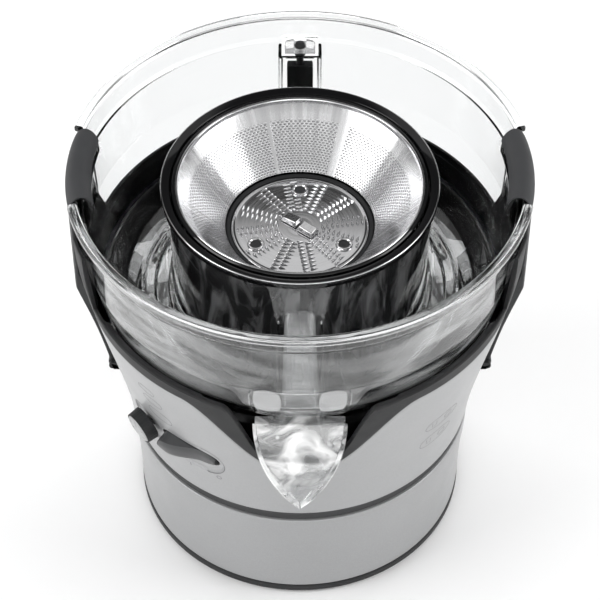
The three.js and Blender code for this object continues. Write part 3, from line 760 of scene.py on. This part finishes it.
def collector():
    """The dark drum round the basket, with its gloss ring, and a polished bead on the ring's outer edge that
    stands in for the highlight there.
    """
    outline = [
        (19.4, 149), (66, 149, 2.5), (69, 152, 2), (71.2, 235.8), (69, 236), (66.8, 154), (64.8, 151.4, 1.5),
        (21.4, 151.4),
        (20.4, 172), (18.4, 172),
    ]
    drum = revolve(
        "collector_drum", rounded(outline, 0.4), SMOKE, "base", replaces=["juice_collector"], slot="clear"
    )
    carved(drum, cutter_box(-11, 11, -90, -50, 153, 192))
    ring = [
        (69.4, 237.2, 0.5), (72.4, 236.6, 0.6), (74.2, 237.2, 0.7), (74.5, 240.2, 0.9), (73.9, 241.9, 0.6),
        (69.9, 240.6, 0.7), (69.4, 239.0, 0.5),
    ]
    revolve(
        "collector_ring_gloss", rounded(ring, 0.6), GLOSS, "base", replaces=["collector_ring"],
        slot="gloss_black"
    )
    # painted highlight: a thin polished steel bead on the gloss ring's outer edge gives the bright line of
    # its highlight
    bead = [
        (74.05 + 0.42 * math.cos(a), 241.3 + 0.42 * math.sin(a))
        for a in np.linspace(0, 2 * math.pi, 12, endpoint=False)
    ]
    revolve("collector_ring_highlight_bead", bead, CHROME, "base", slot="polished_steel", sharp=80)


def duct():
    """A clear tunnel with a rounded roof from the collector to the spout, and a rib along each side."""

    def section(t, grow):
        y = mix(-69.9, -103, t)
        roof = mix(217, 178, smooth(t, 0.0, 1.0)) - 1.6 + 1.6 * grow
        half = mix(6.4, 8.2, t) + 1.5 * grow
        low = 153 - 2 * grow
        flare = half + 3.2
        points = [(flare, y, low), (mix(flare, half, 0.75), y, mix(low, roof, 0.6)), (half, y, roof - 6)]
        for cx, start in ((half - 3.6, 0), (-half + 3.6, 90)):
            for k in range(6):
                a = math.radians(start + 18 * k)
                points.append((cx + 3.6 * math.cos(a), y, roof - 3.6 + 3.6 * math.sin(a)))
        points += [(-half, y, roof - 6), (-mix(flare, half, 0.75), y, mix(low, roof, 0.6)), (-flare, y, low)]
        return points

    steps = np.linspace(0, 1, 18)
    n = len(section(0, 0))
    points = [p for t in steps for p in section(t, 1)] + [p for t in steps for p in section(t, 0)]
    count = len(steps) * n
    skin = grid_faces(len(steps), n, False, True)
    faces = skin + [tuple(count + i for i in reversed(f)) for f in skin]
    last = count - n
    for j in range(n):
        k = (j + 1) % n
        faces.append((j, count + j, count + k, k))
        faces.append((last + j, last + k, count + last + k, count + last + j))
    make("juice_duct", points, faces, DUCT, "base", slot="clear", sharp=50)
    for side, name in ((1, "left"), (-1, "right")):
        rib = []
        for t in steps:
            y, top = mix(-70.5, -104, t), mix(209, 172, smooth(t, 0, 1))
            x = side * mix(11.2, 13.4, t)
            rib.append([(x - 0.55, y, 156), (x + 0.55, y, 156), (x + 0.45, y, top), (x - 0.45, y, top)])
        flat = [p for ring in rib for p in ring]
        make(f"duct_rib_{name}", flat, loop_faces(len(rib), 4), CRYSTAL, "base", slot="clear")


def spout():
    """The clear beak, with a sloping floor and a ledge at its root."""

    def half_width(t):
        return 25 * (1 - t ** 1.9) ** 0.75

    def skin(shrink):
        def surface(u, v):
            t = v
            half = max(0.4, half_width(min(t, 0.999)) - shrink)
            angle = math.pi * u
            depth = mix(24, 2.4, t) - shrink * (1 - 0.7 * t)
            step = 2.2 * math.exp(-(((t - 0.42) / 0.07) ** 2)) * math.sin(angle) ** 3 * (1 if shrink else 0)
            y = mix(-106, -140 + shrink, t)
            z = mix(168, 141, t)
            return (half * math.cos(angle), y, z - depth * math.sin(angle) ** 0.8 + step)

        return surface

    piece = slab(
        "spout_beak", 56, 40, skin(0), skin(1.8), SPOUT, "base", replaces=["spout"], slot="clear", sharp=50
    )
    bevelled(piece, 0.35, 2, 50)

    def ramp(lift):
        def surface(u, v):
            y = mix(-105, -127, v)
            t = max(0.0, (y + 106) / -34)
            rim, depth = mix(168, 141, t), mix(24, 2.4, t)
            z = mix(166.5, 141.6, v ** 0.85) + 1.3 * math.exp(-(((v - 0.62) / 0.07) ** 2))
            reach = math.sqrt(max(0.01, 1 - min(1, (rim - z) / depth) ** 2))
            s = 2 * u - 1
            return (s * half_width(t) * 0.93 * reach, y, z - 1.5 * (1 - s * s) + lift)
        return surface

    slab("spout_ramp", 36, 40, ramp(0.9), ramp(0), SPOUT, "base", slot="clear", sharp=60)

    def shoulder(lift):
        def surface(u, v):
            return (23.8 * (1 - 2 * u), mix(-101.5, -106.8, v), 167.0 + lift + 0.8 * (1 - v))
        return surface

    ledge = slab("spout_shoulder", 30, 6, shoulder(0.9), shoulder(0), SPOUT, "base", slot="clear")
    bevelled(ledge, 0.4, 3)


def tabs():
    """Two rounded pads on the bowl's front, each side of the spout's root, and the frame round them."""
    wall = lambda z: np.interp(z, (173.8, 187, 205), (106.3, 113.1, 116.9))
    for side, name in ((1, "left"), (-1, "right")):
        def face(lift, side=side):
            def surface(u, v):
                s, t = 2 * u - 1, 2 * v - 1
                x = s * math.sqrt(max(0.0, 1 - 0.30 * t * t))
                z = 196.0 + 10.4 * t * math.sqrt(max(0.0, 1 - 0.30 * s * s))
                return polar(side * (8.5 + 3.7 * x), wall(z) + lift, z)
            return surface

        piece = slab(f"bowl_tab_{name}", 16, 16, face(1.0), face(0.15), TAB, "base", slot="clear")
        bevelled(piece, 0.3, 2)
    path = []
    for k in range(64):
        a, z = squared(2 * math.pi * k / 64, 13.2, 14.0, 0.28, 0.28)
        path.append((a, 190.5 + z))
    rings = []
    for i, (a, z) in enumerate(path):
        da, dz = path[(i + 1) % 64][0] - path[i - 1][0], path[(i + 1) % 64][1] - path[i - 1][1]
        length = math.hypot(2 * da, dz)
        na, nz = -dz / length * 0.22, 2 * da / length * 0.45
        rings.append(
            [
                polar(a + s * na, wall(z + s * nz) + lift, z + s * nz) for s,
                lift in ((-1, 0.1), (1, 0.1), (1, 0.8), (-1, 0.8))
            ]
        )
    flat = [p for ring in rings for p in ring]
    make("spout_frame", flat, grid_faces(64, 4, True, True), CRYSTAL, "base", slot="clear")


collector()
duct()
spout()
tabs()


# ---------- filter basket ----------


def basket():
    """The spinning basket: a polished edge, its rim band, the cone and the seat under the disc."""
    edge = [
        (65.0, 238.5, 0.3), (66.7, 238.6, 0.3), (66.9, 240.6, 0.4), (66.3, 241.3, 0.5), (65.4, 240.8, 0.5),
        (65.0, 239.8, 0.3)
    ]
    revolve("basket_edge", rounded(edge, 0.3), CHROME, "filter", slot="polished_steel")
    rim = [
        (67.0, 239.2, 0.3), (68.6, 239.6, 0.4), (68.7, 240.6, 0.5), (67.9, 241.4, 0.5), (67.0, 241.2, 0.3)
    ]
    revolve("basket_rim", rounded(rim, 0.3), GLOSS, "filter", replaces=["filter_rim"], slot="polished_steel")
    cone = [
        (41.2, 208.0), (45, 212.4), (62.4, 233.4), (66.2, 238.3), (65.3, 238.4), (61.5, 233.8),
        (44.2, 213.0), (40.4, 208.9)
    ]
    revolve(
        "basket_cone", rounded(cone, 1.5), MESH_STEEL, "filter", facets=240, replaces=["filter_cone"],
        slot="stainless", sharp=60
    )
    z = DISC_Z
    base = [
        (0, 193), (13, 193), (13, 174), (16, 174, 0.5), (16, 198), (30, 201), (40.4, z - 2.6, 1),
        (41, z + 1.2, 0.4),
        (39.6, z + 2.2, 0.5), (37.9, z + 1.5, 0.3), (37.8, z - 0.3), (0, z - 0.3),
    ]
    revolve(
        "basket_seat", rounded(base, 0.3, closed=False), MATTE, "filter", replaces=["filter_base"],
        slot="black"
    )


def grating():
    """The disc and its twelve double rows of teeth."""
    z = DISC_Z
    disc = [
        (0, z), (37.0, z), (37.3, z + 0.4), (37.3, z + 1.2), (36.9, z + 1.5), (36.0, z + 1.5),
        (35.6, z + 1.3), (35.2, z + 1.3), (0, z + 1.3)
    ]
    revolve("grating_plate", disc, BLADE, "filter", replaces=["grating_disc"], slot="stainless")
    points, faces = [], []
    for row in range(12):
        for line, offset in ((0, -2.1), (1, 2.1)):
            for k in range(9):
                r = 12.0 + 2.75 * k + (1.3 if line else 0)
                if r > 35:
                    continue
                a = math.radians(row * 30 + 9)
                at = Vector(
                    (
                        r * math.cos(a) - offset * math.sin(a), r * math.sin(a) + offset * math.cos(a),
                        z + 1.25
                    )
                )
                if any((at.xy - Vector(polar(b, RIVET_R, 0)[:2])).length < 5.4 for b in RIVETS):
                    continue
                along = Vector((-math.sin(a), math.cos(a), 0))
                add_tooth(points, faces, at, along)
    make("grating_teeth", points, faces, CHROME, "filter", slot="stainless", sharp=60)


def add_tooth(points, faces, at, along):
    """A raised teardrop: a round open mouth that tapers to a point."""
    side = Vector((0, 0, 1)).cross(along)
    rings, n = 6, 8
    start = len(points)
    for i in range(rings):
        t = i / (rings - 1)
        half = 0.9 * math.sin(math.pi * min(0.5, 0.28 + 1.2 * t)) * (1 - t) ** 1.15 + 0.05
        high = 1.5 * math.sin(math.pi * min(0.5, 0.25 + 1.2 * t)) * (1 - t) ** 0.7 + 0.05
        for k in range(n):
            b = math.pi * k / (n - 1)
            p = at + along * (3.9 * t - 1.5) + side * (half * math.cos(b)) + Vector(
                (0, 0, high * math.sin(b))
            )
            points.append(tuple(p))
    for i in range(rings - 1):
        for k in range(n - 1):
            a = start + i * n + k
            faces.append((a, a + 1, a + n + 1, a + n))
        a = start + i * n
        faces.append((a, a + n, a + 2 * n - 1, a + n - 1))
    faces.append(tuple(start + k for k in range(n)))
    last = start + (rings - 1) * n
    faces.append(tuple(last + k for k in reversed(range(n))))


def lug():
    """The two raised blocks in the middle of the disc."""
    turn = Matrix.Rotation(math.radians(-38), 4, "Z")
    for name, x0, x1, lean, shift in (("rear", -11, -0.6, 2.2, 0.5), ("front", 0.6, 11, -2.2, -0.5)):
        base, top = 208.0, 210.9
        y0, y1 = -3.6 + shift, 3.6 + shift
        corners = [
            (x0, y0, base), (x1, y0, base), (x1, y1, base), (x0, y1, base),
            (x0 + 0.9, y0 + 1.0, top - (0.9 if lean > 0 else 0)),
            (x1 - 0.9, y0 + 1.0, top - (0 if lean > 0 else 0.4)),
            (x1 - 0.9, y1 - 1.0, top), (x0 + 0.9, y1 - 1.0, top - (0.9 if lean > 0 else 0)),
        ]
        points = [tuple(turn @ Vector(p)) for p in corners]
        piece = make(
            f"centre_lug_{name}", points, BLOCK_FACES, STEEL, "filter",
            replaces=["grating_lug"] if name == "rear" else (), slot="stainless"
        )
        bevelled(piece, 0.35, 3)


def rivets():
    """Three rings pressed up round dark sunken heads."""
    outline = [
        (0, 207.0), (4.7, 207.0), (4.7, 207.8), (4.3, 208.6), (3.5, 208.6), (3.0, 208.0), (2.7, 207.5),
        (1.6, 207.5), (0.8, 207.7), (0, 207.8),
    ]
    outline = rounded(outline, 0.3, closed=False)
    n = len(outline)
    facets = 40

    def sunken(face):
        k = face % (n - 1)
        return 1 if k > 0 and outline[k][0] < 3.0 else 0

    for i, angle in enumerate(RIVETS):
        x, y, _ = polar(angle, RIVET_R, 0)
        make(
            f"rivet_ring_{i + 1}", spun(outline, facets, x, y), grid_faces(facets, n, True, False),
            [CHROME, GROOVE],
            "filter", replaces=[f"disc_rivet_{i + 1}"], slot="polished_steel", pick=sunken,
        )



basket()
grating()
lug()
rivets()


# ---------- side clamps ----------

PIVOT_Z = 108
PIVOT_R = body_radius(PIVOT_Z) + 4.6


def arm_half(z):
    return 11.5 + 16 * smooth(z, 130, 232)


def arch(s, offset):
    a = math.radians(-8 + 196 * s)
    return 117.35 + (6 + offset) * math.cos(a), 242.4 + (12 + offset) * math.sin(a)


def clamp(name, side):
    """One side clamp: arm, hook, grip and knuckle on the clamp, bracket on the base."""
    body = f"clamp_{name}"

    def leaf(out):
        def surface(u, v):
            z = mix(PIVOT_Z + 1, 243, v)
            inner = min(body_radius(z) + 3 - 1.8 * smooth(z, 119, 131), 121.6)
            seam = 0.7 * math.exp(-(((z - 202) / 0.7) ** 2))
            outer = min(body_radius(z) + 6.6, 123.9) - seam
            crown = 0.5 * (1 - (2 * u - 1) ** 8)
            r = outer - 0.5 + crown if out else inner
            half = math.degrees(math.asin(arm_half(z) / r))
            return polar(side * (90 + half * (1 - 2 * u)), r, z)
        return surface

    arm = slab(
        f"arm_{name}", 26, 90, leaf(True), leaf(False), MATTE, body, replaces=[f"clamp_arm_{name}"],
        slot="black"
    )
    bevelled(arm, 0.6, 3)

    def hook(offset):
        def surface(u, v):
            r, z = arch(v, offset)
            return polar(side * (90 + 12.5 * (1 - 2 * u)), r, z)
        return surface

    crown = slab(f"hook_{name}", 24, 40, hook(0.8), hook(-1.2), GLOSS, body, slot="gloss_black")
    bevelled(crown, 0.4, 3)

    def grip(offset):
        def surface(u, v):
            r, z = arch(0.17 + 0.66 * v, offset * (1 - 0.2 * (2 * u - 1) ** 10))
            return polar(side * (90 + 12.8 * (1 - 2 * u)), r, z)
        return surface

    pad = slab(
        f"grip_{name}", 40, 44, grip(1.75), grip(0.7), SOFT, body, replaces=[f"clamp_grip_{name}"],
        slot="soft_grip"
    )
    bevelled(pad, 0.55, 4)

    facets = 32
    knuckle = [(0, -11.3), (2.3, -11.3), (2.6, -11.0), (2.6, 11.0), (2.3, 11.3), (0, 11.3)]
    points = [
        (
            -side * PIVOT_R + r * math.cos(2 * math.pi * k / facets), y,
            PIVOT_Z + r * math.sin(2 * math.pi * k / facets)
        )
        for k in range(facets) for r, y in knuckle
    ]
    make(f"knuckle_{name}", points, grid_faces(facets, len(knuckle), True, False), MATTE, body, slot="black")

    def strip(lift, z0, z1, half_width):
        def surface(u, v):
            z = mix(z0, z1, v)
            r = body_radius(z) + lift
            return polar(side * (90 + math.degrees(math.asin(half_width / r)) * (1 - 2 * u)), r, z)
        return surface

    plate = slab(
        f"bracket_{name}", 12, 20, strip(1.5, 82, 118, 10.5), strip(0.4, 82, 118, 10.5), MATTE, "base",
        replaces=[f"clamp_bracket_{name}"], slot="black"
    )
    bevelled(plate, 0.4, 3)
    pad_plate = slab(
        f"bracket_wing_{name}", 12, 6, strip(1.6, 104, 112, 14.3), strip(0.5, 104, 112, 14.3), MATTE, "base",
        slot="black"
    )
    bevelled(pad_plate, 0.3, 2)
    for end, y in (("front", -13.1), ("rear", 13.1)):
        outline = [(-0.6, -2.8), (-4.2, -2.8)] + [
            (2.2 * math.cos(a), 2.5 * math.sin(a)) for a in np.linspace(-1.2, 1.9, 9)
        ] + [(-4.2, 2.8)]
        points = [
            (-side * (PIVOT_R + px), yy, PIVOT_Z + pz) for yy in (y - 1.2, y + 1.2) for px, pz in outline
        ]
        ear = make(
            f"bracket_ear_{name}_{end}", points, loop_faces(2, len(outline)), MATTE, "base", slot="black"
        )
        bevelled(ear, 0.25, 2)


clamp("left", 1)
clamp("right", -1)


# ---------- controls ----------


def knob():
    """A ribbed knob with a silver face and five marks."""
    seat = shell_seat(*KNOB_SEAT)
    facets, ribs = 144, 36
    outline = rounded(
        [(0, 0.8), (9.2, 0.8), (9.9, 1.4), (9.5, 7.9), (9.0, 7.9), (8.9, 6.9), (0, 6.9)], 0.35, closed=False
    )
    n = len(outline)
    points = []
    for k in range(facets):
        a = 2 * math.pi * k / facets
        rib = 0.14 * math.cos(ribs * a)
        for r, z in outline:
            grow = rib if r > 9.2 and 1.2 < z < 7.6 else 0
            points.append(((r + grow) * math.cos(a), (r + grow) * math.sin(a), z))
    make(
        "knob_grip", seated(seat, points), grid_faces(facets, n, True, False), MATTE, "knob",
        replaces=["speed_knob"], slot="black"
    )
    face = rounded([(0, 7.2), (8.6, 7.2), (8.6, 7.9), (7.6, 8.5), (0, 8.45)], 0.3, closed=False)
    make(
        "knob_face", seated(seat, spun(face, 96)), grid_faces(96, len(face), True, False), SILVER, "knob",
        replaces=["knob_cap"], slot="silver"
    )
    marks, faces = [], []
    for angle in (-120, -60, 0, 60, 120):
        a = math.radians(angle + 90)
        along, across = Vector((math.cos(a), math.sin(a), 0)), Vector((-math.sin(a), math.cos(a), 0))
        low, high = (2.5, 7.2) if angle == 0 else (5.0, 6.8)
        start = len(marks)
        for z in (8.35, 8.52):
            for r, w in ((low, -0.35), (high, -0.35), (high, 0.35), (low, 0.35)):
                p = along * r + across * w
                marks.append((p.x, p.y, z))
        faces += [tuple(start + i for i in f) for f in BLOCK_FACES]
    make("knob_marks", seated(seat, marks), faces, INK, "knob", slot="grey_trim")


def rocker():
    """A switch with a wave-shaped top, high at one end."""
    seat = shell_seat(*ROCKER_SEAT)
    nu, nv = 60, 17
    rings = []
    for i in range(nu + 1):
        s = i / nu
        x = mix(-17.3, 17.3, s)
        crest = 6.8 * (1 - smooth(s, 0.12, 0.80)) - 0.9 + 1.0 * math.sin(math.pi * s)
        width = 6.1 * max(0.12, 1 - abs(2 * s - 1) ** 5) ** 0.5
        ring = []
        for k in range(nv):
            b = math.pi * k / (nv - 1)
            y = width * math.cos(b)
            ring.append((x, y, crest - 1.3 * abs(math.cos(b)) ** 3))
        ring += [(x, -width, -4.4), (x, width, -4.4)]
        rings.append(ring)
    n = len(rings[0])
    points = [p for ring in rings for p in ring]
    make(
        "rocker_wave", seated(seat, points), loop_faces(nu + 1, n), ROCKER, "rocker",
        replaces=["power_rocker"], slot="grey_trim", sharp=45
    )


def shell_line(name, path, width, closed=True, lift=0.06):
    """A thin grey line on the silver shell, through (angle, z) points: a printed mark, or the painted shade
    line round the control pocket.
    """
    n = len(path)
    points, faces = [], []
    for i, (angle, z) in enumerate(path):
        before = path[i - 1] if closed or i else path[i]
        after = path[(i + 1) % n] if closed or i < n - 1 else path[i]
        du, dz = math.radians(after[0] - before[0]) * body_radius(z), after[1] - before[1]
        length = math.hypot(du, dz) or 1
        nu, nz = -dz / length * width / 2, du / length * width / 2
        for s in (-1, 1):
            zz = z + s * nz
            aa = angle + math.degrees(s * nu / body_radius(z))
            for up in (0.02, lift):
                points.append(polar(aa, body_radius(zz) + up - pocket_depth(aa, zz), zz))
    for i in range(n if closed else n - 1):
        a, b = 4 * i, 4 * ((i + 1) % n)
        faces += [
            (a + 1, a + 3, b + 3, b + 1), (a, b, b + 2, a + 2), (a, a + 1, b + 1, b),
            (a + 2, b + 2, b + 3, a + 3)
        ]
    if not closed:
        last = 4 * (n - 1)
        faces += [(0, 2, 3, 1), (last, last + 1, last + 3, last + 2)]
    make(name, points, faces, INK, "base", slot="grey_trim")


def oval(angle, z, half_angle, half_height, steps=40, power=0.8):
    """A closed path of (angle, z) points round a place on the shell."""
    turns = [2 * math.pi * k / steps for k in range(steps)]
    offsets = [squared(t, half_angle, half_height, power, power) for t in turns]
    return [(angle + a, z + b) for a, b in offsets]


def pocket_shade_line():
    # painted shade: a dark line round the pocket's edge stands in for the shade at its step
    path = []
    for k in range(72):
        b = 2 * math.pi * k / 72
        x = (POCKET["half"] if math.cos(b) > 0 else -POCKET["half"]) + (POCKET["end"] + 0.2) * math.cos(b)
        path.append(
            (POCKET["angle"] - math.degrees(x / 104.5), POCKET["z"] + (POCKET["end"] + 0.2) * math.sin(b))
        )
    shell_line("pocket_edge_shade", path, 0.6)


knob()
rocker()
pocket_shade_line()
shell_line("mark_on", [(36.5, 104.4), (36.5, 101.6)], 0.5, closed=False)
shell_line("mark_off", oval(26.0, 103.0, 0.8, 1.45, 24, 1), 0.45)
for i, (angle, z, half_angle, half_height) in enumerate(
    (
        (-46, 134.5, 6.6, 5.2), (-46, 116.5, 6.6, 5.6), (44, 141, 4.6, 4.2), (45, 154, 3.6, 3.4),
        (46, 164, 3.0, 2.8)
    )
):
    shell_line(f"print_oval_{i + 1}", oval(angle, z, half_angle, half_height), 0.3)
for i, (z, half) in enumerate(((134.5, 2.6), (116.5, 2.6))):
    shell_line(f"print_fruit_{i + 1}", oval(-48.5, z, 1.5, half, 24, 1), 0.3)
    shell_line(
        f"print_cup_{i + 1}", [(-43.5, z + 2.2), (-43.9, z - 2.2), (-42.2, z - 2.2), (-41.8, z + 2.2)][::-1],
        0.3, closed=False
    )


# ---------- lid interlock ----------


def interlock():
    """The rear post with its clear guard and cap, and the pin that the lid presses."""

    def tube(name, sections, material, body, **extra):
        points = [p for s in sections for p in s]
        return make(name, points, loop_faces(len(sections), len(sections[0])), material, body, **extra)

    core = []
    for z, half in ((171.4, 7.2), (200, 7.4), (226, 7.4), (228, 7.0)):
        core.append([(-half, 107.6, z), (half, 107.6, z), (half, 112.6, z), (-half, 112.6, z)])
    post = tube("interlock_core", core, MATTE, "base", replaces=["interlock_column"], slot="black")
    bevelled(post, 0.5, 3)

    def channel(z, half, front, wall):
        outer = [(-half, 117.2, z), (-half, front, z), (half, front, z), (half, 117.2, z)]
        inset, floor = half - wall, front + wall
        return outer + [(inset, 117.2, z), (inset, floor, z), (-inset, floor, z), (-inset, 117.2, z)]

    guard = tube(
        "interlock_guard", [channel(z, 12.3, 104.2, 1.9) for z in (176, 190, 215, 236.8)], CRYSTAL, "base",
        slot="clear"
    )
    bevelled(guard, 0.8, 3)
    wing = []
    steps = (
        (-8.6, 237.4, 239.4), (-7.4, 237.4, 241.2), (-3.8, 237.4, 242.2), (-2.8, 237.4, 240.6),
        (2.8, 237.4, 240.6), (3.8, 237.4, 242.2), (7.4, 237.4, 241.2), (8.6, 237.4, 239.4)
    )
    for x, low, high in steps:
        wing.append([(x, 106.4, low), (x, 114.2, low), (x, 114.2, high), (x, 106.4, high)])
    cap = tube("interlock_cap", wing, TAB, "base", slot="clear")
    bevelled(cap, 0.4, 2)
    circle = np.linspace(0, 2 * math.pi, 24, endpoint=False)
    bore = [(3.5 * math.cos(a), PIN_Y + 3.5 * math.sin(a), z) for z in (230, 250) for a in circle]
    carved(applied(cap), cutter(bore, loop_faces(2, 24)))
    outline = rounded(
        [(0, 176), (2, 176), (2, 233.6), (3.2, 234.4), (3.2, 240), (2.6, 242), (0, 242.6)], 0.5, closed=False
    )
    make(
        "plunger_pin", spun(outline, 32, 0, PIN_Y), grid_faces(32, len(outline), True, False), MATTE,
        "plunger", replaces=["interlock_plunger"], slot="black"
    )


interlock()

# ---------- pieces that keep their own solids ----------

OWN = (
    (
        MATTE,
        ["base_plate", "cooling_fan", "drive_coupling", "interlock_switch", "speed_switch", "rocker_switch"]
    ),
    (RUBBER, ["shaft_seal", "cord_gland"] + [f"foot_{i}" for i in (1, 2, 3, 4)]),
    (IRON, ["motor_stator", "motor_frame", "motor_bridge", "rotor_core"]),
    (COPPER, ["field_coil_front", "field_coil_rear", "commutator"]),
    (CHROME, ["bearing_lower", "bearing_upper", "motor_shaft", "clamp_pin_left", "clamp_pin_right"]),
    (CHROME, [f"base_screw_{i}" for i in (1, 2, 3, 4)]),
    (CARBON, ["carbon_brush_left", "carbon_brush_right"]),
    (BOARD, ["control_board"]),
)
for material, names in OWN:
    for name in names:
        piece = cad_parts[name]
        piece.data.materials.clear()
        piece.data.materials.append(material)
        bevelled(piece, 0.25, 2, 40)

# ---------- floor, light and camera ----------


def stage():
    """A pale floor, a sky with a light and a dark half, four softboxes and the camera."""
    bpy.ops.mesh.primitive_plane_add(size=14, location=(0, 0, 0))
    floor = bpy.context.object
    floor.name = "floor"
    material, n, shader = new_material("floor_white", Roughness=0.9, Specular_IOR_Level=0.1)
    connect(
        n, shader,
        Base_Color=n.colour(n.noise(2, 3, n.object_space()), (0.93, 0.93, 0.93), (0.95, 0.95, 0.95))
    )
    floor.data.materials.append(material)

    world = bpy.data.worlds.new("studio")
    bpy.context.scene.world = world
    world.use_nodes = True
    n = Nodes(world.node_tree)
    way = n.split(n.add("ShaderNodeTexCoord").outputs["Generated"])

    def ramp(stops):
        node = n.add("ShaderNodeValToRGB", {"Fac": way[2]})
        node.color_ramp.interpolation = "EASE"
        elements = node.color_ramp.elements
        elements[1].position = stops[-1][0]
        for position, _ in stops[1:-1]:
            elements.new(position)
        for element, (_, value) in zip(elements, stops):
            element.color = (value, value, value, 1)
        return node.outputs["Color"]

    front = ramp(((0.0, 1.0), (0.35, 0.85), (0.6, 0.6), (0.8, 0.25), (1.0, 0.1)))
    rear = ramp(
        (
            (0.0, 0.95), (0.15, 0.85), (0.25, 0.12), (0.710, 0.05), (0.722, 0.75), (0.86, 0.6), (0.93, 0.06),
            (1.0, 0.03)
        )
    )
    sky = n.colour(n.remap(way[1], -0.25, 0.25, 0.0, 1.0), front, rear)
    background = world.node_tree.nodes["Background"]
    world.node_tree.links.new(sky, background.inputs["Color"])
    background.inputs["Strength"].default_value = 1.0

    def softbox(name, location, target, size, power):
        data = bpy.data.lights.new(name, "AREA")
        data.shape = "RECTANGLE"
        data.size, data.size_y = size
        data.energy = power
        lamp = bpy.data.objects.new(name, data)
        lamp.location = location
        lamp.rotation_euler = (Vector(target) - Vector(location)).to_track_quat("-Z", "Y").to_euler()
        bpy.context.scene.collection.objects.link(lamp)
        return lamp

    softbox("rear_softbox", (0, 1.5, 2.42), (0, 0, 2.42), (3.6, 1.3), 88).visible_glossy = False
    softbox("left_softbox", (-1.7, -0.5, 1.3), (0, 0, 0.15), (1.2, 1.6), 23)
    softbox("right_softbox", (1.8, -0.2, 1.2), (0, 0, 0.15), (1.0, 1.6), 19)
    softbox("front_softbox", (0, -2.2, 0.9), (0, 0, 0.12), (2.2, 1.0), 12)

    camera_data = bpy.data.cameras.new("camera")
    camera_data.lens = 138.8
    camera_data.sensor_width = 36
    camera = bpy.data.objects.new("camera", camera_data)
    camera.location = (0, -0.877, 1.108)
    camera.rotation_euler = (Vector((0, 0, 0.148)) - camera.location).to_track_quat("-Z", "Y").to_euler()
    bpy.context.scene.collection.objects.link(camera)
    bpy.context.scene.camera = camera
    settings = bpy.context.scene.view_settings
    settings.view_transform = "Standard"
    settings.exposure = 0.0


stage()
